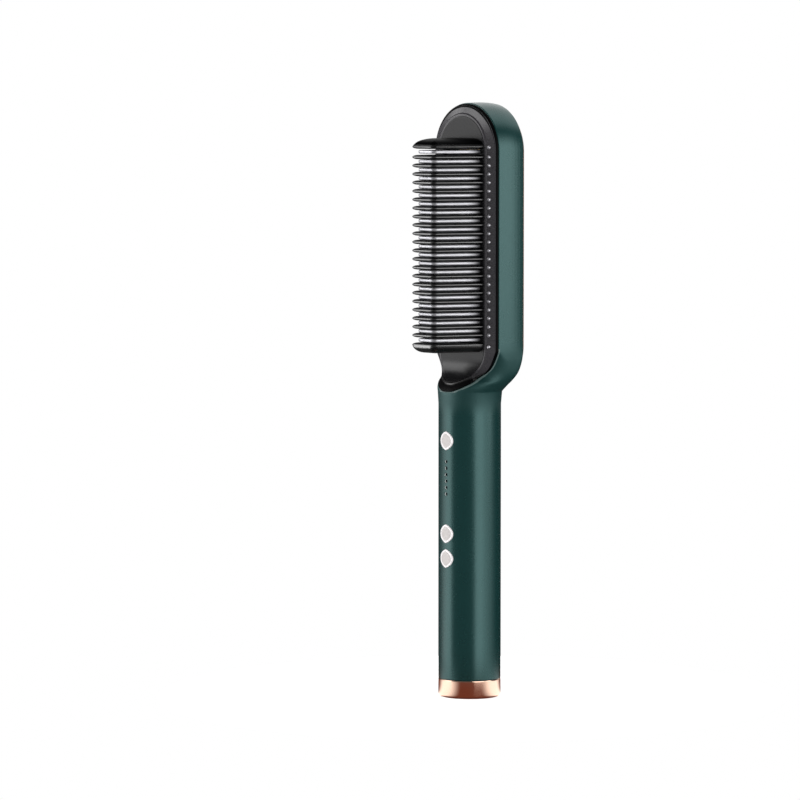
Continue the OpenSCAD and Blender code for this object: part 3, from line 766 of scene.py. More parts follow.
@dataclass(frozen=True)
class Finish:
    """Finish of a surface: its colours, gloss and fine relief.

    Scales are in cycles a metre and other lengths in millimetres. Below the height dark_below the
    colour is painted black as shade, and between the two heights of soft_zone the surface is duller. Towards
    a root the colour is painted darker as shade, from the first to the second place along Y of root_fade.
    """

    name: str
    colour: Colour
    shade: Colour
    roughness: float = 0.4
    metallic: float = 0.0
    coat: float = 0.0
    ior: float = 1.5
    tint: Colour = (1.0, 1.0, 1.0)
    patch_scale: float = 60.0
    grain_scale: float = 1500.0
    grain_depth: float = 0.01
    roughness_range: float = 0.06
    stretch: Point = (1.0, 1.0, 1.0)
    dark_below: float = 0.0
    soft_zone: tuple[float, float] = (0.0, 0.0)
    root_fade: tuple[float, float] = (0.0, 0.0)

    COAT_ROUGHNESS = 0.1
    SMUDGES_PER_PATCH = 4
    # The fade round the height below which shade is painted black, and the colour of that painted shade
    DARK_EDGE = (-6.0, 3.0)
    BLACK = (0.002, 0.002, 0.002)
    # The fades inside the two ends of soft_zone, and what is added to the roughness between them
    SOFT_EDGES = (8.0, 12.0)
    DULLER = 0.22
    # Share of the colour that is left at the far end of the shade painted towards a root
    ROOT_SHARE = 0.12

    def make(self) -> bpy.types.Material:
        """Builds the material.

        The colour drifts between two shades in soft patches, the gloss varies with finer patches, and a fine
        grain lifts the surface by the grain's depth.

        Returns:
            The material.
        """
        material = bpy.data.materials.new(self.name)
        graph = Graph(material)
        smudge_scale = self.patch_scale * self.SMUDGES_PER_PATCH
        patches = graph.noise(self.patch_scale, detail=3, roughness=0.55, stretch=self.stretch)
        smudges = graph.noise(smudge_scale, detail=2, roughness=0.6, stretch=self.stretch)
        grain = graph.noise(self.grain_scale, detail=2, roughness=0.5, stretch=self.stretch)
        colour = graph.mix(patches.step(0.3, 0.7), self.colour, self.shade)
        # Painted shade: the colour turns black below a height, where the part falls into shade
        if self.dark_below:
            low, high = ((self.dark_below + edge) * MM for edge in self.DARK_EDGE)
            colour = graph.mix(graph.along("Z").step(low, high), self.BLACK, colour)
        # Painted shade: the colour darkens along Y towards the root, where neighbouring parts shade it
        front, root = (v * MM for v in self.root_fade)
        if front:
            dark = tuple(c * self.ROOT_SHARE for c in self.colour)
            colour = graph.mix(graph.along("Y").step(front, root), colour, dark)
        roughness = smudges * self.roughness_range + (self.roughness - self.roughness_range / 2)
        low, high = (v * MM for v in self.soft_zone)
        if high:
            height = graph.along("Z")
            low_edge, high_edge = (v * MM for v in self.SOFT_EDGES)
            inside = height.step(low, low + low_edge) * (1 - height.step(high - high_edge, high))
            roughness = roughness + inside * self.DULLER
        relief = graph.node(
            "ShaderNodeBump", {"Strength": 1.0, "Distance": self.grain_depth * MM, "Height": grain})
        shader = graph.node("ShaderNodeBsdfPrincipled", {
            "Base Color": colour,
            "Roughness": roughness,
            "Metallic": self.metallic,
            "IOR": self.ior,
            "Specular Tint": self.tint,
            "Coat Weight": self.coat,
            "Coat Roughness": self.COAT_ROUGHNESS,
            "Normal": relief,
        })
        graph.node("ShaderNodeOutputMaterial", {"Surface": shader})
        return material


def plain(name: str, red: float, green: float, blue: float, **finish: float) -> Finish:
    """Finish from one screen colour, with a shade 15 % darker."""
    colour = srgb(red, green, blue)
    return Finish(name, colour, tuple(c * 0.85 for c in colour), **finish)


LACQUER = {
    "roughness": 0.27,
    "ior": 1.65,
    "tint": (0.58, 1.0, 0.98),
    "grain_scale": 900,
    "grain_depth": 0.002,
    "roughness_range": 0.03,
}
PLATING = {"metallic": 1.0, "grain_scale": 2400, "grain_depth": 0.002}


class Surface(Enum):
    """Finishes by the record's slot that they show."""

    SHELL_GREEN = Finish("green_lacquer", srgb(11, 48, 47), srgb(9, 46, 45), soft_zone=(135.0, 172.0),
                         **LACQUER)
    # Pale finish along the lower seam: a painted highlight line
    SHELL_LIP = plain("painted_highlight_lip", 94, 115, 113, roughness=0.45)
    PANEL_GREEN = Finish("deep_green_lacquer", srgb(6, 40, 37), srgb(5, 37, 34), **LACQUER)
    ROSE_GOLD = Finish("rose_gold_plating", srgb(226, 180, 160), srgb(218, 172, 150), roughness=0.2,
                       roughness_range=0.05, **PLATING)
    CAP_COPPER = Finish("copper_plating", srgb(238, 204, 182), srgb(232, 196, 174), roughness=0.15,
                        roughness_range=0.015, **PLATING)
    # Grey frame: below 157 mm its colour is painted black as the shade at the lip and scoop
    FRAME_GREY = Finish("grey_moulding", srgb(58, 56, 60), srgb(54, 52, 56), roughness=0.27, ior=1.6,
                        grain_scale=5200, grain_depth=0.004, dark_below=157.0)
    # Near-black dull finish on the frame's shoulder and band: painted shade and dark reflection
    FRAME_EDGE = Finish("painted_shade_frame_edge", srgb(6, 6, 7), srgb(4, 4, 5), roughness=0.45, ior=1.12,
                        grain_scale=5200, grain_depth=0.004)
    NUB = Finish("bright_pin", srgb(215, 214, 220), srgb(205, 204, 210), roughness=0.35, metallic=0.8,
                 grain_scale=5200, grain_depth=0.002)
    COMB_BLACK = Finish("black_moulding", srgb(9, 9, 10), srgb(7, 7, 8), roughness=0.28, ior=2.4,
                        grain_scale=4200, grain_depth=0.003, roughness_range=0.05)
    # Darker, duller copy of the rib moulding on the flat sides: painted shade between the ribs
    COMB_FLANK = Finish("painted_shade_black_moulding", srgb(3, 3, 4), srgb(2, 2, 3), roughness=0.4, ior=1.1,
                        grain_scale=4200, grain_depth=0.003)
    COMB_PLATE = Finish("black_plate", srgb(18, 18, 20), srgb(15, 15, 17), roughness=0.26, ior=1.4,
                        grain_scale=4200, grain_depth=0.003)
    # Fins: their colour is painted darker towards the roots, as the shade between the ribs
    FIN_METAL = Finish("coated_aluminium", srgb(216, 216, 221), srgb(208, 208, 213), roughness=0.4,
                       metallic=0.74, grain_scale=3000, grain_depth=0.002, roughness_range=0.05,
                       stretch=(1, 1, 4), root_fade=(-12.5, -4.0))
    BUTTON_WHITE = Finish("white_rim", srgb(254, 250, 251), srgb(252, 247, 248), roughness=0.22, ior=1.7,
                          grain_depth=0.001)
    BUTTON_CENTRE = Finish("pinkish_grey_centre", srgb(207, 201, 199), srgb(203, 197, 195), roughness=0.35,
                           grain_depth=0.003, grain_scale=4000)
    LIGHT_CLEAR = plain("smoked_light", 10, 26, 27, roughness=0.5, ior=1.1, grain_depth=0.001)
    SLEEVE = plain("pale_sleeve", 236, 246, 244, roughness=0.5, grain_depth=0.001)
    FILM_AMBER = plain("amber_film", 200, 150, 60, roughness=0.2, coat=0.5)
    ELECTRODE_METAL = plain("aluminium_strip", 205, 205, 208, roughness=0.3, metallic=1.0, stretch=(8, 1, 1))
    HEATING_CERAMIC = plain("fired_ceramic", 92, 86, 82, roughness=0.8, grain_depth=0.03, grain_scale=2500)
    SPRING_STEEL = plain("spring_steel", 160, 160, 165, roughness=0.3, metallic=1.0, stretch=(1, 1, 6))
    SCREW_STEEL = plain("zinc_plating", 190, 190, 194, roughness=0.28, metallic=1.0)
    SHIELD_METAL = plain("rolled_sheet", 212, 212, 208, roughness=0.35, metallic=1.0, stretch=(1, 1, 10))
    SENSOR_GLASS = plain("glass_bead", 205, 100, 60, roughness=0.08, coat=1.0)
    FUSE_METAL = plain("fuse_can", 205, 205, 198, roughness=0.3, metallic=1.0)
    LEAD_CREAM = plain("cream_silicone", 220, 212, 196, roughness=0.55, grain_depth=0.006)
    LEAD_BLACK = plain("black_silicone", 34, 34, 36, roughness=0.55, grain_depth=0.006)
    LEAD_RED = plain("red_silicone", 140, 42, 34, roughness=0.55, grain_depth=0.006)
    INNER_PLASTIC = plain("inner_moulding", 40, 40, 42, roughness=0.5, grain_depth=0.015)
    BOARD_GREEN = plain("solder_mask", 28, 96, 50, roughness=0.3, coat=0.4, patch_scale=200.0)
    CHIP_BLACK = plain("moulded_epoxy", 26, 26, 27, roughness=0.6, grain_depth=0.02, grain_scale=6000)
    CAPACITOR_YELLOW = plain("yellow_case", 206, 160, 44, roughness=0.3)
    CAPACITOR_BLUE = plain("blue_sleeve", 40, 54, 118, roughness=0.35)
    VARISTOR_BLUE = plain("blue_dip", 52, 92, 182, roughness=0.35, grain_depth=0.02)
    LED_WHITE = plain("diffuse_package", 240, 236, 216, roughness=0.45)
    PLUNGER_WHITE = plain("natural_moulding", 196, 190, 172, roughness=0.5, grain_depth=0.01)
    SWIVEL_BLACK = plain("swivel_moulding", 24, 24, 26, roughness=0.42, grain_depth=0.01, grain_scale=4000)
    CONTACT_BRASS = plain("brass_leaf", 205, 165, 80, roughness=0.3, metallic=1.0, stretch=(1, 1, 6))
    HOLDER_WHITE = plain("steatite", 220, 214, 200, roughness=0.75, grain_depth=0.02, grain_scale=3000)

    @property
    def slot(self) -> str:
        """Name of the record's slot."""
        return self.name.lower()


class Dresser:
    """Makes each finish once and dresses pieces with it."""

    def __init__(self) -> None:
        """Starts with no materials."""
        self.made: dict[Surface, bpy.types.Material] = {}

    def material(self, surface: Surface) -> bpy.types.Material:
        """Material of a finish.

        Args:
            surface: the finish.

        Returns:
            Its material.
        """
        if surface not in self.made:
            self.made[surface] = surface.value.make()
        return self.made[surface]

    def piece(
        self, shape: Shape, name: str, body: str, surfaces: Sequence[Surface], nodes: Sequence[str],
        crease: float = CREASE
    ) -> None:
        """Builds a piece, rides it on its body and lets it stand for its nodes.

        Args:
            shape: the piece's points and faces.
            name: the piece's name.
            body: the body that it moves with.
            surfaces: its finishes, the first for its slot.
            nodes: the nodes that it stands for.
            crease: angle in degrees above which an edge stays sharp.
        """
        made = shape.build(name, [self.material(s) for s in surfaces], crease)
        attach(made, body)
        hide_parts(*nodes)
        log.info("%s: %d faces on %s", name, len(made.data.polygons), body)


# Distances from a rounded edge at which rows of points lie
NEAR_EDGE = np.array([0, 0.01, 0.04, 0.09, 0.16, 0.25, 0.36, 0.5, 0.7, 0.95, 1.25, 1.6, 2.0])
NEAR_LIGHT = np.array([0.03, 0.08, 0.14])
NEAR_BOTTOM = np.array([0.04, 0.12, 0.3, 0.8])


@dataclass
class HousingShell:
    """Green shell of handle, neck and head, open to the front frame and to the ring's recess."""

    edge_r: float = 0.4
    edge_low_z: float = 145.5
    light_r: float = 0.95
    light_edge_r: float = 0.12
    light_zone: float = 1.0
    gap: float = 0.15
    bottom: float = S.cap_h + 0.03
    handle_low_z: float = 12.0
    neck_rows_z: float = 149.5
    side_round: float = 0.9
    flange_half_w: float = 6.1
    flange_half_h: float = 5.6
    flange_y: float = -12.35
    lip_w: float = 0.75
    lip_low_z: float = 146.0
    lip_high_z: float = 168.5

    def foot(self) -> float:
        """Lowest height at which the body stands in front of the seam."""
        return front_foot(inset=0, low=146, high=149, count=3001)

    def heights(self) -> Array:
        """Heights of the grid's rows, close together where an edge or hole is rounded.

        Returns:
            The heights, from the bottom up.
        """
        button_h = S.button_half_h + self.gap
        turn = np.linspace(-QUARTER, QUARTER, 9)
        sides = np.array([-1, 1])
        rows = [
            self.bottom + self.edge_r * (1 - np.cos(np.linspace(0, QUARTER, 6))),
            self.bottom + self.edge_r + NEAR_BOTTOM,
            np.linspace(self.handle_low_z, S.neck_low, 30),
            *(z + button_h * np.linspace(-1, 1, 29) for z in S.button_zs),
            *(z + self.flange_half_h * sides for z in S.button_zs),
            *(z + self.light_r * np.sin(turn) for z in S.light_zs),
            *(z + side * (self.light_r + NEAR_LIGHT) for z in S.light_zs for side in sides),
            self.foot() + NEAR_EDGE,
            self.foot() - NEAR_EDGE[:7],
            S.ring_low - S.seam + NEAR_EDGE,
            np.arange(self.neck_rows_z, S.neck_high, 0.5),
            np.linspace(S.neck_high, S.head_arc_z, 10),
        ]
        return np.unique(np.round(np.concatenate(rows), WELD_DECIMALS))

    def hole_half(self, z: Array) -> Array:
        """Half width of the holes for the buttons and lights at each height; a light's hole is a circle.

        Args:
            z: heights.

        Returns:
            The half widths, nought where there is no hole.
        """
        h = S.button_half_h + self.gap
        half = np.zeros_like(z)
        for centre in S.button_zs:
            d = np.minimum(np.abs(z - centre), h)
            half = np.maximum(half, pointed_half(d, S.button_half_w + self.gap, h))
        for centre in S.light_zs:
            d = np.minimum(np.abs(z - centre), self.light_r)
            half = np.maximum(half, np.sqrt(self.light_r**2 - d**2))
        least = 1e-3
        return np.where(half < least, 0, half)

    def recess_half(self, z: Array, angle: Array) -> Array:
        """Half width of the ring's recess, measured in each row's own plane.

        Args:
            z: height of each row.
            angle: turn of each row about the top arc's centre.

        Returns:
            The half widths.
        """
        r = S.ring_half_w + S.seam
        low, high = S.ring_low - S.seam + r, S.ring_high + S.seam - r
        over = np.maximum(low - z, z - high)
        flat = np.sqrt(np.maximum(0, r**2 - np.maximum(0, over) ** 2))
        drop = S.head_arc_z - high
        turned = -drop * np.sin(angle) + np.sqrt(r**2 - (drop * np.cos(angle)) ** 2)
        return np.where(angle > 0, turned, flat)

    def rounded(self, outer: Array, z: Array) -> tuple[Array, Array]:
        """Outside with its edges rounded at the seam, at the lights and at its lower end.

        Points near an edge sink along the outline's normal as a quarter circle does.

        Args:
            outer: points of the outside, row by row.
            z: height of each row.

        Returns:
            The points, and how far each was from the seam.
        """
        along = np.gradient(outer, axis=1)
        normal = unit(np.stack([along[..., 1], -along[..., 0]], -1))
        least = 0.02
        reach = np.sqrt(np.maximum(least, 1 + seam_slope(z)[:, None] ** 2 - normal[..., 1] ** 2))
        beyond = (outer[..., 1] - seam_y(z)[:, None]) / reach
        sink = np.where(z[:, None] > self.edge_low_z, fillet_drop(beyond, self.edge_r), 0)
        for centre in S.light_zs:
            away = np.hypot(outer[..., 0], z[:, None] - centre) - self.light_r
            close = (np.abs(z[:, None] - centre) < self.light_zone) & (outer[..., 1] < 0)
            sink = np.where(close, np.maximum(sink, fillet_drop(away, self.light_edge_r)), sink)
        lower = fillet_drop(z - self.bottom, self.edge_r)
        return (outer - normal * sink[..., None]) * (1 - lower / S.handle_r)[:, None, None], beyond

    def seated(self, inner: Array, z: Array) -> Array:
        """Inside with a flat seat for each button's flange.

        Args:
            inner: points of the inside, row by row.
            z: height of each row.

        Returns:
            The points.
        """
        y = inner[..., 1]
        for centre in S.button_zs:
            level = np.abs(z[:, None] - centre) < self.flange_half_h - 0.01
            held = level & (np.abs(inner[..., 0]) < self.flange_half_w) & (y < 0)
            y = np.where(held, np.maximum(y, self.flange_y), y)
        return np.stack([inner[..., 0], y], -1)

    def shape(self) -> Shape:
        """Closed wall of the shell.

        Each row runs from the front edge round the outside to the recess, along the recess's floor to the
        middle, and back along the inside to the front edge. Rows of the head's top turn about the top arc's
        centre. Faces close to the lower seam take a pale finish that paints a highlight line along it.

        Returns:
            The shape, with its mirror image.
        """
        heights = self.heights()
        turns = np.linspace(0, QUARTER, 44)[1:]
        z = np.concatenate([heights, np.full_like(turns, S.head_arc_z)])
        angle = np.concatenate([np.zeros_like(heights), turns])
        outer_path = outline(z, side_round=self.side_round)
        inner_path = outline(z, S.wall, S.back_wall)
        outer_len, inner_len = lengths_along(outer_path), lengths_along(inner_path)
        hole = self.hole_half(z)
        seam = seam_y(z)

        def front(path: Array, lengths: Array) -> Array:
            """Length at which a path leaves the hole or the seam."""
            from_hole = read_rows(hole, path[:, :FRONT_COUNT, 0], lengths[:, :FRONT_COUNT])
            return np.where(path[:, 0, 1] < seam, read_rows(seam, path[..., 1], lengths), from_hole)

        recess = self.recess_half(z, angle)
        at_recess = read_rows(-recess, -outer_path[:, BACK_START:, 0], outer_len[:, BACK_START:])
        to_recess = np.where(recess > 0, at_recess, outer_len[:, -1])
        outer = part_of_path(outer_path, front(outer_path, outer_len), to_recess)
        outer, beyond = self.rounded(outer, z)
        inner = part_of_path(inner_path, front(inner_path, inner_len), inner_len[:, -1])[:, ::-1]
        inner = self.seated(inner, z)

        last = outer[:, -1:]
        in_recess = (recess > 0)[:, None, None]
        floor = np.stack([last[..., 0], np.full_like(last[..., 0], S.recess)], -1)
        wall = np.where(in_recess, floor, last)
        middle = wall * np.array([0.5, 1])
        end = np.where(in_recess, wall * np.array([0, 1]), last)
        uncut = (outer_path[:, 0, 1] < seam) & (inner_path[:, 0, 1] >= seam)
        rim = np.where(uncut[:, None], np.stack([0 * seam, seam], -1), inner[:, -1])[:, None]
        loop = np.concatenate([outer, wall, middle, end, inner, rim], 1)

        x, y, turn = loop[..., 0], loop[..., 1], angle[:, None]
        up = z[:, None] + np.where(turn > 0, x * np.sin(turn), 0)
        points = np.stack([x * np.cos(turn), y, up], -1)
        ring = points[:1].copy()
        size = np.hypot(ring[..., 0], ring[..., 1])[..., None]
        ring[..., :2] *= (S.handle_r - S.wall / 2) / size
        shape = Shape().grid(np.concatenate([ring, points]), wrap_columns=True)
        # Painted highlight: faces beside the lower seam take the pale finish
        lip_highlight_faces = np.zeros(points.shape[:2], bool)
        level = (z > self.lip_low_z) & (z < self.lip_high_z) & (angle == 0)
        lip_highlight_faces[:, :beyond.shape[1]] = (beyond < self.lip_w) & level[:, None]
        both = lip_highlight_faces & np.roll(lip_highlight_faces, -1, 1)
        shape.marks[-1][both.shape[1]:] = (both[:-1] & both[1:]).reshape(-1)
        return shape.mirrored()

    def build(self, dresser: Dresser) -> None:
        """Makes the piece."""
        surfaces = [Surface.SHELL_GREEN, Surface.SHELL_LIP]
        dresser.piece(self.shape(), "housing_shell_lacquered", "brush", surfaces, ["housing_shell"])


def between(low: Array, high: Array, count: int) -> Array:
    """Values evenly spaced between two ends, for each section."""
    return (low + (high - low) * np.linspace(0, 1, count)[:, None]).T[..., None]


@dataclass
class FrontFrame:
    """Grey frame round the comb, with a nub beside each end of every rib.

    Its parts from the seam inwards are the shoulder, the band and the bead. The shoulder up to a share of its
    length and the band up to a share of its width take a black finish, painted shade and dark reflection. The
    shares are least at the straight sides and grow smoothly with the angle towards the top and the lip. The
    shoulder's pair is the least share and the growth, and the band's three are the least share and its growth
    to the top and to the lip.
    """

    tongue: float = S.wall + 0.15
    tongue_depth: float = 1.4
    seam_gap: float = 0.05
    lip_gap: float = 0.03
    edge_least: float = 0.15
    edge_more: float = 0.2
    shoulder: int = 9
    shoulder_lip: float = 0.2
    shoulder_lean: float = 0.04
    shoulder_rise: float = 1.5
    shoulder_drop: float = 0.85
    shoulder_lift: float = 0.1
    pull_start: float = 1.05
    pull_end: float = 0.6
    inner_edge: float = 0.22
    inner_drop: float = 0.1
    lip_bulge: float = 0.55
    bead: float = 0.32
    bead_w: float = 1.3
    bead_gap: float = 0.15
    # Shares of the shoulder and band that are painted black as shade and dark reflection
    black_top: float = 1.05
    black_lip: tuple[float, float] = (-0.5, 0.6)
    black_shoulder: tuple[float, float] = (0.72, 0.27)
    black_band: tuple[float, float, float] = (0.01, 0.22, 0.95)
    nub_x: float = 18.4
    nub_r: float = 0.98
    nub_y: tuple[float, float] = (-3.4, -4.9)
    nub_round: float = 0.6

    def seam_half(self, z: Array, inset: float) -> Array:
        """Half width of the body on the seam at each height, drawn in by an inset."""
        path = outline(z, inset, inset)
        return read_rows(seam_y(z), path[..., 1], path[..., 0])

    def shape(self) -> Shape:
        """Closed loop of cross-sections, from the top round one side to the lower lip, and its mirror image.

        A section rises from the seam over a shoulder, a cubic curve of four control points, crosses the band
        to the comb's base and returns behind it. Towards the lip the shoulder shrinks as a cosine and the
        band bulges.

        Returns:
            The frame's shape.
        """
        head_w = float(self.seam_half(np.array([S.neck_high]), 0)[0])
        top = np.linspace(QUARTER, 0, 44)
        straight = np.linspace(S.head_arc_z, S.neck_high, 9)[1:-1]
        low = np.linspace(0, -QUARTER, 60)
        a = np.concatenate([top, 0 * straight, low])
        is_top = np.arange(len(a)) < len(top)
        is_low = np.arange(len(a)) >= len(top) + len(straight)
        line = (S.head_arc_z - straight) / (S.head_arc_z - S.neck_high)
        line = np.concatenate([0 * top, line, 0 * low + 1])
        size = np.where(is_low, self.shoulder_lip + (1 - self.shoulder_lip) * np.cos(a), 1)
        edge = self.edge_least + self.edge_more * size
        straight_z = S.head_arc_z + (S.neck_high - S.head_arc_z) * line

        def ring(lowest: float, inset: Array, along_seam: float) -> tuple[Array, Array]:
            """Half widths and heights of a line round the frame, drawn in from the head by an inset.

            At the lip a part of the inset is taken along the seam's own outline.

            Args:
                lowest: height of its lowest point.
                inset: the whole inset.
                along_seam: the part of it that is taken along the seam's outline.

            Returns:
                The half widths and the heights.
            """
            lip_z = S.neck_high + (S.neck_high - lowest) * np.sin(a)
            z = np.where(is_low, lip_z, straight_z + (head_w - inset) * np.sin(a))
            side = self.seam_half(z, along_seam) - (inset - along_seam)
            x = np.where(is_low, side, (head_w - inset) * np.cos(a))
            x[-1] = 0
            return x, z

        outer_x, outer_z = ring(HousingShell().foot() + self.lip_gap, edge, 0)
        inner_foot = front_foot(self.tongue, low=147, high=160, count=5201)
        inner_x, inner_z = ring(inner_foot, self.tongue, self.tongue)
        base_z = S.base_high_z + (S.base_low_z - S.base_high_z) * line + S.base_half_w * np.sin(a)
        base = np.stack([S.base_half_w * np.cos(a), -scoop_front(base_z), base_z], -1)

        start = np.stack([outer_x, seam_y(outer_z) - self.seam_gap, outer_z], -1)
        over_x = outer_x * (1 - self.shoulder_lean * size)
        over_y = seam_y(outer_z) - self.shoulder_rise * size
        over_z = outer_z + np.where(is_top, -self.shoulder_drop * np.sin(a), self.shoulder_lift)
        over = np.stack([over_x, over_y, over_z], -1)
        outward = unit(over - base)
        front = np.array([0, -1.0, 0])
        second = start + front * (self.pull_start * size)[:, None]
        third = over + outward * (self.pull_end * size)[:, None]
        across = self.frames(base, outward)
        foot_of_bead = base + outward * (self.bead_w + self.bead_gap)
        bulge = self.lip_bulge * np.clip(-np.sin(a), 0, 1) ** 6

        def curve(low_end: Array, high_end: Array, count: int) -> Array:
            """Points over the shoulder between two parameters of each section.

            Args:
                low_end: where the part starts in each section.
                high_end: where it ends.
                count: number of its points in each section.

            Returns:
                The points.
            """
            t = between(low_end, high_end, count)
            return (
                (1 - t) ** 3 * start[:, None] + 3 * (1 - t) ** 2 * t * second[:, None]
                + 3 * (1 - t) * t**2 * third[:, None] + t**3 * over[:, None])

        def band(low_end: Array, high_end: Array, count: int) -> Array:
            """Points across the band between two shares of its width in each section.

            Args:
                low_end: where the part starts in each section.
                high_end: where it ends.
                count: number of its points in each section.

            Returns:
                The points.
            """
            t = between(low_end, high_end, count)
            crown = np.sin(math.pi * t) * bulge[:, None, None]
            return over[:, None] * (1 - t) + foot_of_bead[:, None] * t + crown * np.array([0, -0.8, -0.6])

        share = np.linspace(0, 1, 11)[None, :, None]
        bump = foot_of_bead[:, None] - outward[:, None] * self.bead_w * share
        bump = bump + across[:, None] * self.bead * np.sin(math.pi * share)
        turned = base - across * self.inner_drop
        behind = base - front * self.inner_edge
        root = base - front * S.plate_t
        tongue = np.stack([inner_x, seam_y(inner_z) + self.tongue_depth, inner_z], -1)
        tip = np.stack([inner_x, seam_y(inner_z) - self.seam_gap, inner_z], -1)
        rest = np.stack([bump[:, -1], turned, behind, root, tongue, tip, start], 1)

        # Painted shade: the black shares grow towards the top and the lip, where the frame falls into shade
        upper = smooth_rise(a / self.black_top)
        lower = smooth_rise((self.black_lip[0] - a) / self.black_lip[1])
        side_share, more = self.black_shoulder
        shaded_shoulder_share = side_share + more * np.maximum(upper, lower)
        side_share, top_share, lip_share = self.black_band
        black = side_share + top_share * upper + lip_share * lower
        none, full = 0 * a, 0 * a + 1
        shape = Shape().grid(curve(none, shaded_shoulder_share, self.shoulder), mark=1)
        shape.grid(curve(shaded_shoulder_share, full, 3))
        shape.grid(band(none, black, 5), mark=1).grid(band(black, full, 10))
        return shape.grid(bump).grid(rest).mirrored()

    @staticmethod
    def frames(base: Array, outward: Array) -> Array:
        """Direction square to the band at each section, towards the front."""
        square = np.cross(np.gradient(base, axis=0), outward)
        return unit(square * -np.sign(square[:, 1:2]))

    def nubs(self) -> Shape:
        """Nubs: short pins whose tips are quarter circles in profile, one beside each end of every rib.

        Returns:
            The nubs.
        """
        rise = np.linspace(0, QUARTER, 6)[1:]
        root, tip = self.nub_y
        r, tip_r = self.nub_r, self.nub_round
        profile = np.array([
            [r, root + 0.8], [r, root], [r * 0.94, tip + tip_r + 0.1],
            *((r * 0.92 - tip_r * (1 - math.cos(t)), tip + tip_r * (1 - math.sin(t))) for t in rise)])
        one = turned_pin(profile, [2] * len(profile))
        zs = [S.low_rib_z - 0.9, *S.inner_rib_zs, S.top_rib_z - 0.4]
        return one.copies([(side * self.nub_x, 0, z) for z in zs for side in (-1, 1)])

    def build(self, dresser: Dresser) -> None:
        """Makes the piece.

        Args:
            dresser: makes the finishes and the object.
        """
        shape = self.shape().join(self.nubs())
        surfaces = [Surface.FRAME_GREY, Surface.FRAME_EDGE, Surface.NUB]
        dresser.piece(shape, "front_frame_moulded", "brush", surfaces, ["front_frame"])


@dataclass(frozen=True)
class CombOutline:
    """Plan outline of a rib or fin: straight flanks that narrow towards a front with round corners."""

    tip_half: float
    base_half: float
    reach: float
    corner_r: float
    root: float

    def loop(self, drawn_in: float = 0) -> Array:
        """Outline as (x, y), open at its root, drawn in by a distance at the front and less at the flanks.

        Args:
            drawn_in: how far the front is drawn in.

        Returns:
            The outline's points.
        """
        tip = self.tip_half - drawn_in * 0.8
        base = self.base_half - drawn_in * 0.8
        front = self.reach - drawn_in
        lean = math.atan((base - tip) / (front - S.face))
        r = max(0.6, self.corner_r - drawn_in * 0.5)
        x = tip - r / math.tan((QUARTER + lean) / 2)
        turn = np.linspace(-QUARTER, -lean, 15)
        corner = np.stack([x + r * np.cos(turn), r - front + r * np.sin(turn)], -1)
        foot = np.array([base, -S.face])
        flank = corner[-1] + (foot - corner[-1]) * np.linspace(0, 1, 8)[1:, None]
        right = np.concatenate([[[0, -front]], corner, flank, [[base, -self.root]]])
        return np.concatenate([right, (right * (-1, 1))[::-1][:-1]])

    def lens(self, levels: Array, crest: tuple[int, int] = (0, -1), flank: int = 0) -> Shape:
        """Closed solid between outlines at rising heights.

        Args:
            levels: how far each outline is drawn in, and its height.
            crest: first and last level of the part that takes material 0.
            flank: number of the material of the rest.

        Returns:
            The solid.
        """
        rows = np.stack([
            np.insert(self.loop(drawn_in), 2, height, axis=1) for drawn_in, height in levels])
        first, last = crest[0], len(rows) - 1 if crest[1] < 0 else crest[1]
        shape = Shape().grid(rows[first:last + 1], wrap_columns=True)
        if first > 0:
            shape.grid(rows[:first + 1], wrap_columns=True, mark=flank)
        if last < len(rows) - 1:
            shape.grid(rows[last:], wrap_columns=True, mark=flank)
        return shape.flat(rows[0], flank).flat(rows[-1], flank)


# Outer sides of the end ribs: how far drawn in, and height above the rib's middle
TOP_SIDE = np.array([[0, 0], [0.5, 0.85], [1.3, 1.7], [2.3, 2.5], [4.0, 3.2], [6.2, 3.75], [8.4, 4.0]])
LOW_SIDE = np.array([[0, 0], [0.3, 1.0], [0.8, 1.8], [1.6, 2.6], [2.6, 3.2], [3.5, 3.55], [4.6, 3.75]])


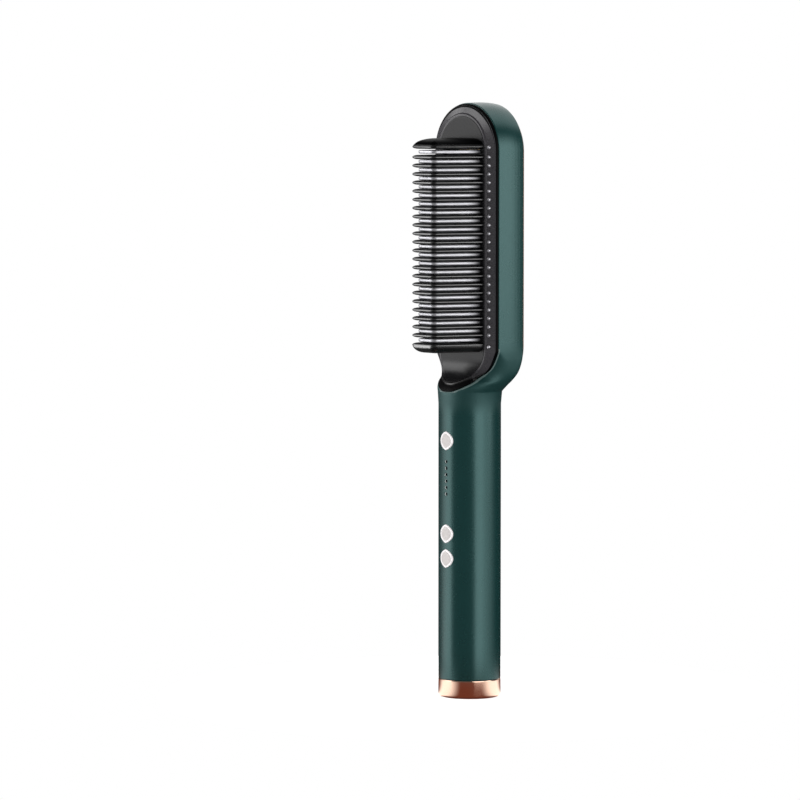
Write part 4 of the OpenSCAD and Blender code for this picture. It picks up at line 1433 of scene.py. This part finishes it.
@dataclass
class CombGuard:
    """Black guard: base plate with its scoop, ribs in front of it and screw pillars behind it."""

    rib: CombOutline = CombOutline(8.3, 15.6, 30.3, 3.7, 3.0)
    thickness: float = 2.1
    edge: float = 2.6
    crest_levels: int = 5
    crest_rise: float = 0.9
    window_half: float = 13.7
    plate_edge: float = 0.25
    pillars: tuple[tuple[float, float], ...] = ((8, 272.6), (9.4, 160.6))
    pillar_r: float = 3.0
    pillar_sink: float = 0.4
    pillar_end: float = 10.6

    def side(self) -> Array:
        """Levels from a rib's flat face to its crest: a quarter ellipse of how far drawn in and height.

        Returns:
            An array of levels and (drawn in, height).
        """
        t = np.linspace(QUARTER, 0, 14)
        quarter = np.stack([self.edge * (1 - np.cos(t)), self.thickness / 2 * np.sin(t)], -1)
        return np.concatenate([[[self.edge + 0.4, self.thickness / 2]], quarter])

    def plate(self) -> Shape:
        """Base plate: a band between the round-ended outline and the window, level above, scooped below.

        Returns:
            The plate.
        """
        r = S.base_half_w - S.seam
        low, high = S.base_low_z, S.base_high_z
        outer = stadium(r, low, high, 64, 12)
        centre = np.stack([0 * outer[:, 0], np.clip(outer[:, 1], low, high)], -1)
        inward = unit(centre - outer)
        window_z = np.clip(outer[:, 1], S.low_rib_z, S.top_rib_z)
        window = np.stack([outer[:, 0] / r * self.window_half, window_z], -1)
        turn_top, turn_low = outer[:, 1] >= high, outer[:, 1] <= low
        window[turn_top, 1], window[turn_low, 1] = S.top_rib_z, S.low_rib_z
        near = np.array([0, 0.04, 0.09, 0.16, self.plate_edge])
        inset = outer[None] + inward[None] * near[:, None, None]
        share = np.linspace(0, 1, 22)[1:, None, None]
        across = inset[-1][None] * (1 - share) + window[None] * share
        xz = np.concatenate([inset, across])
        drop = np.concatenate([fillet_drop(near, self.plate_edge), np.zeros(len(share))])[:, None]
        y = -scoop_front(xz[..., 1])
        face = np.stack([xz[..., 0], y + drop, xz[..., 1]], -1)
        back = np.stack([xz[..., 0], y + S.plate_t, xz[..., 1]], -1)[::-1]
        return Shape().grid(np.concatenate([face, back]), wrap_rows=True, wrap_columns=True, mark=2)

    def ribs(self) -> Shape:
        """All ribs: inner ones with an edge all round, and end ribs whose outer side is full and round.

        The crest and the full sides take the glossy black, and the flat sides a darker, duller black that
        paints the shade between the ribs.

        Returns:
            The ribs.
        """
        side = self.side()
        lower = side * (1, -1)
        middle = len(lower) - 1
        first, last = middle - self.crest_levels, middle + self.crest_levels
        inner = self.rib.lens(np.concatenate([lower, side[::-1][1:]]), (first, last), 1)
        shape = inner.copies([(0, 0, z) for z in S.inner_rib_zs])
        top, low = softened(TOP_SIDE), softened(LOW_SIDE)
        last = middle + int(np.argmax(top[:, 1] > self.crest_rise))
        upper_end = self.rib.lens(np.concatenate([lower, top[1:]]), (first, last), 1)
        lower_end = self.rib.lens(np.concatenate([lower, low[1:]]), (first, -1), 1)
        lower_end.points = [p * (1, 1, -1) for p in lower_end.points]
        shape.join(upper_end.copies([(0, 0, S.top_rib_z)]))
        return shape.join(lower_end.copies([(0, 0, S.low_rib_z)]))

    def build(self, dresser: Dresser) -> None:
        """Makes the piece.

        Args:
            dresser: makes the finishes and the object.
        """
        shape = self.plate().join(self.ribs())
        for x, z in self.pillars:
            start = self.pillar_sink - float(scoop_front(np.array(z)))
            for sign in (-1, 1):
                shape.join(peg(sign * x, z, self.pillar_r, start, self.pillar_end))
        surfaces = [Surface.COMB_BLACK, Surface.COMB_FLANK, Surface.COMB_PLATE]
        dresser.piece(shape, "comb_guard_moulded", "brush", surfaces, ["comb_guard"])


@dataclass
class HeaterFins:
    """Aluminium heater plate with a round-edged fin between each two ribs."""

    fin: CombOutline = CombOutline(6.1, 13.2, 28.2, 3.5, 2.85)
    thickness: float = 1.6
    round_r: float = 0.42
    plate_half_w: float = 14.4
    plate_gap: float = 1.6
    plate_y: tuple[float, float] = (-2.85, -0.2)
    clamp_x: float = 11.2
    clamp_zs: tuple[float, ...] = (-44, 0, 44)
    clamp_r: float = 2.2
    clamp_y: float = 3.6

    def heights(self) -> Array:
        """Heights of the fins, one between each two ribs.

        Returns:
            The heights.
        """
        inner = S.inner_rib_zs[:-1] + S.rib_pitch / 2
        ends = [S.inner_rib_zs[0] - S.end_pitch_low / 2, S.inner_rib_zs[-1] + S.end_pitch_top / 2]
        return np.concatenate([inner, ends])

    def build(self, dresser: Dresser) -> None:
        """Makes the piece. A fin's edge is a shallow arch between two quarter circles.

        Args:
            dresser: makes the finishes and the object.
        """
        turn = np.linspace(QUARTER, 0, 7)
        flat = self.thickness / 2 - self.round_r
        corner = np.stack([0.1 + self.round_r * (1 - np.cos(turn)), flat + self.round_r * np.sin(turn)], -1)
        rise = np.linspace(1, 0, 4)[1:, None] * np.array([0, flat])
        arch = rise + np.array([[0.045, 0], [0.012, 0], [0, 0]])
        half = np.concatenate([[[self.round_r + 0.5, self.thickness / 2]], corner, arch])
        one = self.fin.lens(np.concatenate([half * (1, -1), half[::-1][1:]]))
        shape = one.copies([(0, 0, z) for z in self.heights()])
        half_h = S.comb_mid_z - S.low_rib_z - self.plate_gap
        front, back = self.plate_y
        shape.join(box_shape((-self.plate_half_w, front, S.comb_mid_z - half_h),
                             (self.plate_half_w, back, S.comb_mid_z + half_h)))
        root = back - 0.01
        for x, z in [(sign * self.clamp_x, z) for z in self.clamp_zs for sign in (-1, 1)]:
            shape.join(peg(x, S.comb_mid_z + z, self.clamp_r, root, self.clamp_y))
        dresser.piece(shape, "heater_fins_coated", "brush", [Surface.FIN_METAL], ["heater_fins"])


@dataclass
class BackTrim:
    """Rose gold ring and the green panel inside it."""

    crown: float = 0.5
    panel_edge: float = 0.35

    def ring(self) -> Shape:
        """Profile of the ring carried round its outline: outer bevel, low crown, inner bevel and back.

        Returns:
            The ring.
        """
        profile = np.array([
            [0, S.recess], [0, 14.6], [0.04, 14.72], [0.14, 14.8], [0.86, 15.1], [0.98, 15.14], [1.2, 15.17],
            [1.8, S.ring_face],
            [2.4, 15.17], [2.55, 15.14], [2.68, 15.08], [3.2, 14.62], [3.32, 14.5], [3.45, 14.42],
            [3.45, S.recess]])
        low, high = S.ring_low + S.ring_half_w, S.ring_high - S.ring_half_w
        rows = [
            np.insert(stadium(S.ring_half_w - d, low, high, 64, 8), 1, y, axis=1)
            for d, y in profile]
        return Shape().grid(np.stack(rows), wrap_rows=True, wrap_columns=True)

    def panel(self) -> Shape:
        """Panel: nested outlines whose height falls with the square of the distance from the middle.

        Returns:
            The panel.
        """
        r = S.panel_half_w - S.seam
        low, high = S.panel_low + S.panel_half_w, S.panel_high - S.panel_half_w
        near = [0, 0.05, 0.12, 0.22, self.panel_edge]
        insets = np.concatenate([near, np.linspace(self.panel_edge, r, 26)[1:]])
        rows = np.stack([stadium(r - d, low, high, 56, 8) for d in insets])
        drop = fillet_drop(insets, self.panel_edge)[:, None]
        y = S.ring_face - self.crown * (rows[..., 0] / S.panel_half_w) ** 2 - drop
        points = np.stack([rows[..., 0], y, rows[..., 1]], -1)
        back = points[:1] * (1, 0, 1) + (0, S.recess, 0)
        return Shape().grid(np.concatenate([back, points]), wrap_columns=True).flat(back[0])

    def build(self, dresser: Dresser) -> None:
        """Makes both pieces.

        Args:
            dresser: makes the finishes and the object.
        """
        sharp = 30
        dresser.piece(
            self.ring(), "back_trim_ring_plated", "brush", [Surface.ROSE_GOLD], ["back_trim_ring"], sharp)
        dresser.piece(
            self.panel(), "back_panel_lacquered", "brush", [Surface.PANEL_GREEN], ["back_panel"])


@dataclass
class EndCap:
    """Copper end cap with its spigot, a hole for the swivel and two screw bosses."""

    edge_r: float = 1.2
    top_edge: float = 0.22
    top_bevel: float = 0.07
    hole_r: float = 6.05
    floor: float = 3.0
    spigot_gap: float = 0.06
    spigot_h: float = 17.0
    spigot_r: float = 11.4
    boss_x: float = 9.7

    def build(self, dresser: Dresser) -> None:
        """Makes the piece: a turned profile whose lower edge is a quarter circle.

        Args:
            dresser: makes the finishes and the object.
        """
        r, e, top = S.handle_r, self.edge_r, self.top_edge
        turn = np.linspace(-QUARTER, 0, 14)
        lower = np.stack([r - e + e * np.cos(turn), e + e * np.sin(turn)], -1)
        spigot = S.handle_r - S.wall - self.spigot_gap
        bevel = 0.2
        profile = np.concatenate([
            [[self.hole_r, 0.25], [self.hole_r + 0.08, 0.08], [self.hole_r + 0.25, 0]],
            lower,
            [[r, 1.8], [r, 8.2], [r, S.cap_h - top]],
            [[r - self.top_bevel, S.cap_h - self.top_bevel], [r - top, S.cap_h], [spigot, S.cap_h]],
            [[spigot, self.spigot_h - bevel], [spigot - bevel, self.spigot_h]],
            [[self.spigot_r, self.spigot_h], [self.spigot_r, self.floor], [self.hole_r, self.floor]]])
        shape = lathe(profile)
        boss = lathe(np.array([[0.62, 1.2], [1.6, 2.9], [1.6, 5.1], [0.62, 5.1]]), 32)
        shape.join(boss.copies([(sign * self.boss_x, 0, 0) for sign in (-1, 1)]))
        dresser.piece(shape, "end_cap_plated", "brush", [Surface.CAP_COPPER], ["end_cap"])


@dataclass
class Button:
    """Push button: pointed oval face that follows the handle, with a raised white rim round its centre."""

    node: str
    body: str
    z: float
    proud: float = 0.4
    edge_r: float = 0.3
    rim: float = 0.24
    dish: float = 0.22
    centre_share: float = 0.8
    back_y: float = -11.9
    plunger_r: float = 1.4

    def loop(self) -> Array:
        """Outline as (x, z), its heights spaced as the sine of even angles.

        Returns:
            The outline's points.
        """
        z = S.button_half_h * np.sin(np.linspace(-QUARTER, QUARTER, 41))
        x = pointed_half(z, S.button_half_w, S.button_half_h)
        x[[0, -1]] = 0
        return np.concatenate([np.stack([x, z], -1), np.stack([-x, z], -1)[::-1][1:-1]])

    def build(self, dresser: Dresser) -> None:
        """Makes the piece. Inside its rim the face sinks smoothly by the dish's depth.

        Args:
            dresser: makes the finishes and the object.
        """
        share = np.array([1, 0.985, 0.96, 0.93, 0.9, 0.86, 0.82, 0.78, 0.75, 0.72, 0.6, 0.45, 0.3, 0.15, 0])
        reach = S.handle_r + self.proud
        rows = self.loop()[None] * share[:, None, None]
        edge = fillet_drop((1 - share) * S.button_half_w, self.edge_r)
        sink = edge + self.dish * smooth_rise((1 - self.rim / 2 * 1.2 - share) / 0.1)
        y = -np.sqrt(reach**2 - rows[..., 0] ** 2) + sink[:, None]
        face = np.stack([rows[..., 0], y, rows[..., 1]], -1)
        back = face[:1] * (1, 0, 1) + (0, self.back_y, 0)
        split = int(np.argmax(share <= self.centre_share))
        rim = np.concatenate([back, face[:split + 1]])
        shape = Shape().grid(rim, wrap_columns=True).flat(back[0])
        shape.grid(face[split:], wrap_columns=True, mark=1)
        shape.join(box_shape((-5.5, -12.3, -5.3), (5.5, -11.4, 5.3), 0.15))
        shape.join(peg(0, 0, self.plunger_r, -11.41, -10.4))
        shape = shape.copies([(0, 0, self.z)])
        surfaces = [Surface.BUTTON_WHITE, Surface.BUTTON_CENTRE]
        dresser.piece(shape, self.node + "_moulded", self.body, surfaces, [self.node])


@dataclass
class LightGuide:
    """Smoked bar with one pin behind each light's hole; a pin has a pale wall round a dark bore."""

    half_w: float = 1.4
    front_y: float = -11.4
    back_y: float = -8.2
    foot_y: float = -6.2
    foot_h: float = 1.21
    pin_r: float = 0.92
    bore_r: float = 0.87
    pin_front: float = -14.93
    bore_y: float = -14.3
    bar_over: float = 1.5

    def build(self, dresser: Dresser) -> None:
        """Makes the piece.

        Args:
            dresser: makes the finishes and the object.
        """
        w, low, high = self.half_w, S.light_zs[0], S.light_zs[-1]
        over = self.bar_over
        shape = box_shape((-w, self.front_y, low - over), (w, self.back_y, high + over))
        for z in (low - 2.7, high + 1.49):
            shape.join(box_shape((-w, self.front_y, z), (w, self.foot_y, z + self.foot_h)))
        pin = np.array([
            [self.pin_r, self.front_y + 0.1], [self.pin_r, self.pin_front],
            [self.bore_r, self.pin_front], [self.bore_r, self.bore_y]])
        shape.join(turned_pin(pin, (0, 0, 1, 0)).copies([(0, 0, z) for z in S.light_zs]))
        surfaces = [Surface.LIGHT_CLEAR, Surface.SLEEVE]
        dresser.piece(shape, "light_guide_smoked", "brush", surfaces, ["light_guide"])


class Inside:
    """Nodes that keep their own meshes and take their slot's finish."""

    @staticmethod
    def dress(frame: dict, dresser: Dresser) -> None:
        """Gives each node that still shows the material of its slot.

        Args:
            frame: the loaded frame.
            dresser: makes the finishes.
        """
        slots = {part["node"]: part["material_slot"] for part in frame["record"]["subparts"]}
        for name, node in frame["nodes"].items():
            if node.hide_render:
                continue
            node.data.materials.clear()
            node.data.materials.append(dresser.material(Surface[slots[name].upper()]))
            log.info("%s keeps its mesh", name)


@dataclass
class Lamp:
    """Softbox: an upright rectangle that spans a range of azimuths and elevations as seen from the head.

    Azimuths are counted from the camera's, to the right. The brightness falls smoothly from one share of the
    way between the azimuths to another, and in the same way towards the upper edge.
    """

    name: str
    start: float
    end: float
    low: float
    high: float
    level: float
    fade: tuple[float, float] = (2.0, 3.0)
    fade_high: tuple[float, float] = (2.0, 3.0)

    RADIANCE = 2.0
    DISTANCE = 1.0
    AIM_Z = 0.15

    def build(self, azimuth: float) -> None:
        """Makes the lamp, facing the object's axis.

        Args:
            azimuth: the camera's azimuth.
        """
        half = math.radians(abs(self.end - self.start) / 2)
        low, high = (self.DISTANCE * math.tan(math.radians(v)) for v in (self.low, self.high))
        data = bpy.data.lights.new(self.name, "AREA")
        data.shape = "RECTANGLE"
        data.size, data.size_y = 2 * self.DISTANCE * math.tan(half), high - low
        data.energy = self.RADIANCE * self.level * data.size * data.size_y * math.pi
        graph = Graph(data)
        place = graph.node("ShaderNodeNewGeometry", output="Parametric")
        share = graph.part(place, "X") if self.end > self.start else 1 - graph.part(place, "X")
        strength = (1 - share.step(*self.fade)) * (1 - graph.part(place, "Y").step(*self.fade_high))
        emission = graph.node("ShaderNodeEmission", {"Color": (1, 1, 1), "Strength": strength})
        graph.node("ShaderNodeOutputLight", {"Surface": emission})
        made = bpy.data.objects.new(self.name, data)
        a = azimuth + (self.start + self.end) / 2
        x, y, _ = towards(a)
        made.location = (self.DISTANCE * x, self.DISTANCE * y, self.AIM_Z + (low + high) / 2)
        made.rotation_euler = (QUARTER, 0, math.radians(a))
        made.visible_camera = False
        bpy.context.scene.collection.objects.link(made)


# Softboxes to the left and right of the camera, those on the right in a lower and an upper row
LAMPS = (
    Lamp("left_softbox", -70, -135, -34, 24, 1.08, (0.15, 0.95)),
    Lamp("left_upper_softbox", -62, -98, 24, 44, 1.3),
    Lamp("right_handle_softbox", 19.5, 48, -22, -2.9, 1.22),
    Lamp("right_handle_fade", 48, 110, -24, -2.9, 1.22, (-0.35, 1.0)),
    Lamp("left_lower_softbox", -92, -122, -34, -18, 1.2),
    Lamp("scoop_softbox", -98, -124, 14, 33, 1.3),
    Lamp("comb_softbox", 12, 60, -2.9, 30, 1.0, (0.8, 1.2)),
    Lamp("head_softbox", 88, 56, -2.9, 36, 1.35, (0.4, 1.0), fade_high=(0.35, 1.1)),
)


@dataclass
class Studio:
    """Floor, backdrop, lamps and the photograph's camera.

    Lengths are in metres and angles in degrees. Each window is a bright part of the backdrop, given by its
    azimuth from the camera's and its lift. The card is the pattern of the floor that gloss shows.
    """

    azimuth: float = 49.0
    distance: float = 2.16
    height: float = 0.296
    focal: float = 4517.0
    pitch: float = 4.065
    shift_px: float = 70.1
    frame_px: float = 800.0
    sensor: float = 36.0
    floor_r: float = 0.15
    floor_z: float = -0.02
    fill_level: float = 0.5
    gloss_level: float = 0.15
    gloss_dark: float = 0.135
    windows: tuple[tuple[float, float], ...] = ((160, 20), (130, 47))
    window_level: float = 1.2
    card_turn: float = 3.0
    card_white: Colour = (1.65, 1.65, 1.65)
    card_brown: Colour = (0.18, 0.053, 0.031)
    steep_brown: Colour = (0.14, 0.05, 0.035)
    steep_black: Colour = (0.004, 0.004, 0.004)

    def camera(self) -> None:
        """Camera of the photograph: a place on a circle round the handle, a pitch and a turn to the left."""
        a, p = math.radians(self.azimuth), math.radians(self.pitch)
        turn = math.atan(self.shift_px * math.cos(p) / self.focal)
        ahead = Vector((-math.sin(a), math.cos(a), 0))
        right = Vector((math.cos(a), math.sin(a), 0))
        forward = ahead * math.cos(turn) - right * math.sin(turn)
        side = right * math.cos(turn) + ahead * math.sin(turn)
        look = forward * math.cos(p) + Vector((0, 0, -math.sin(p)))
        up = side.cross(look)
        data = bpy.data.cameras.new("camera")
        data.sensor_width = self.sensor
        data.lens = self.focal * self.sensor / self.frame_px
        made = bpy.data.objects.new("camera", data)
        place = Vector((self.distance * math.sin(a), -self.distance * math.cos(a), self.height))
        made.matrix_world = Matrix.Translation(place) @ Matrix((side, up, -look)).transposed().to_4x4()
        bpy.context.scene.collection.objects.link(made)
        bpy.context.scene.camera = made

    def world(self) -> None:
        """Backdrop: white to the camera and to gloss above and behind the object, pale grey to the rest."""
        world = bpy.data.worlds.new("studio")
        bpy.context.scene.world = world
        graph = Graph(world)
        direction = graph.node("ShaderNodeTexCoord", output="Generated")
        behind, above = (
            graph.dot(direction, towards(self.azimuth + turn, lift)) for turn, lift in self.windows)
        up = graph.part(direction, "Z")
        window = (behind.step(0.7, 0.98) * up.step(-0.02, 0.03)).larger(above.step(0.88, 0.98))
        direct, gloss = graph.rays()
        seen = direct.larger(gloss * (window * self.window_level))
        dark = behind.step(0.3, 0.75).larger((up * up).step(0.12, 0.5))
        rest = gloss * (self.gloss_level - dark * self.gloss_dark) + (1 - gloss) * self.fill_level
        strength = seen + (1 - seen) * rest
        shader = graph.node("ShaderNodeBackground", {"Color": (1, 1, 1), "Strength": strength})
        graph.node("ShaderNodeOutputWorld", {"Surface": shader})

    def floor(self) -> None:
        """Pale round floor that keeps the object's shadow and turns pure white towards its edge.

        To gloss it is white on the camera's left and right, dark in front of the object and behind it, and
        not there further out.
        """
        turn = circle(96)[None, :]
        r = np.linspace(0, 1, 9)[1:, None] * self.floor_r / MM
        points = np.stack([r * np.cos(turn), r * np.sin(turn), 0 * r * turn + self.floor_z], -1)
        material = bpy.data.materials.new("pale_floor")
        graph = Graph(material)
        place = graph.node("ShaderNodeTexCoord", output="Object")
        away = graph.node("ShaderNodeVectorMath", {0: place}, "Value", operation="LENGTH")
        outwards = graph.node("ShaderNodeVectorMath", {0: place}, operation="NORMALIZE")
        a = self.azimuth + self.card_turn
        ahead, side = (graph.dot(outwards, towards(a + turn)) for turn in (0, 90))
        grazing = graph.node("ShaderNodeLayerWeight", {"Blend": 0.5}, "Facing")
        white = (side * side).step(0.26, 1.0) * ahead.step(-0.9, -0.2)
        cards = graph.mix(white, self.card_brown, self.card_white)
        steep = graph.mix(away.step(0.022, 0.045), self.steep_brown, self.steep_black)
        cards = graph.mix(grazing.step(0.4, 0.75), steep, cards)
        matt = graph.node("ShaderNodeBsdfDiffuse", {"Color": (0.92, 0.92, 0.92)})
        lift = away.step(0.02, 0.09) * 0.45 + 0.55
        glow = graph.node("ShaderNodeEmission", {"Color": (1, 1, 1), "Strength": lift})
        lit = graph.node("ShaderNodeAddShader", {0: matt, 1: glow})
        direct, gloss = graph.rays()
        seen = graph.node("ShaderNodeMixShader", {0: direct, 1: matt, 2: lit})
        card = graph.node("ShaderNodeEmission", {"Color": cards, "Strength": 1.0})
        open_floor = graph.node("ShaderNodeBsdfTransparent")
        mirrored = graph.node("ShaderNodeMixShader", {0: away.step(0.09, 0.1), 1: card, 2: open_floor})
        shader = graph.node("ShaderNodeMixShader", {0: gloss, 1: seen, 2: mirrored})
        graph.node("ShaderNodeOutputMaterial", {"Surface": shader})
        made = Shape().grid(points, wrap_columns=True).flat(points[0]).build("floor", [material])

    def build(self) -> None:
        """Sets up the studio."""
        bpy.context.scene.view_settings.view_transform = "Standard"
        self.camera()
        self.world()
        self.floor()
        for lamp in LAMPS:
            lamp.build(self.azimuth)


def main() -> None:
    """Builds the studio and every piece in order."""
    logging.basicConfig(level=logging.INFO, format="%(message)s")
    for item in list(bpy.data.objects):
        bpy.data.objects.remove(item)
    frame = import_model()
    Studio().build()
    dresser = Dresser()
    keys = [("power_button", "power_key"), ("plus_button", "plus_key"), ("minus_button", "minus_key")]
    parts = [HousingShell(), FrontFrame(), CombGuard(), HeaterFins(), BackTrim(), EndCap(), LightGuide()]
    parts += [Button(node, body, z) for (node, body), z in zip(keys, S.button_zs)]
    for part in parts:
        part.build(dresser)
    Inside.dress(frame, dresser)


if __name__ == "__main__":
    main()
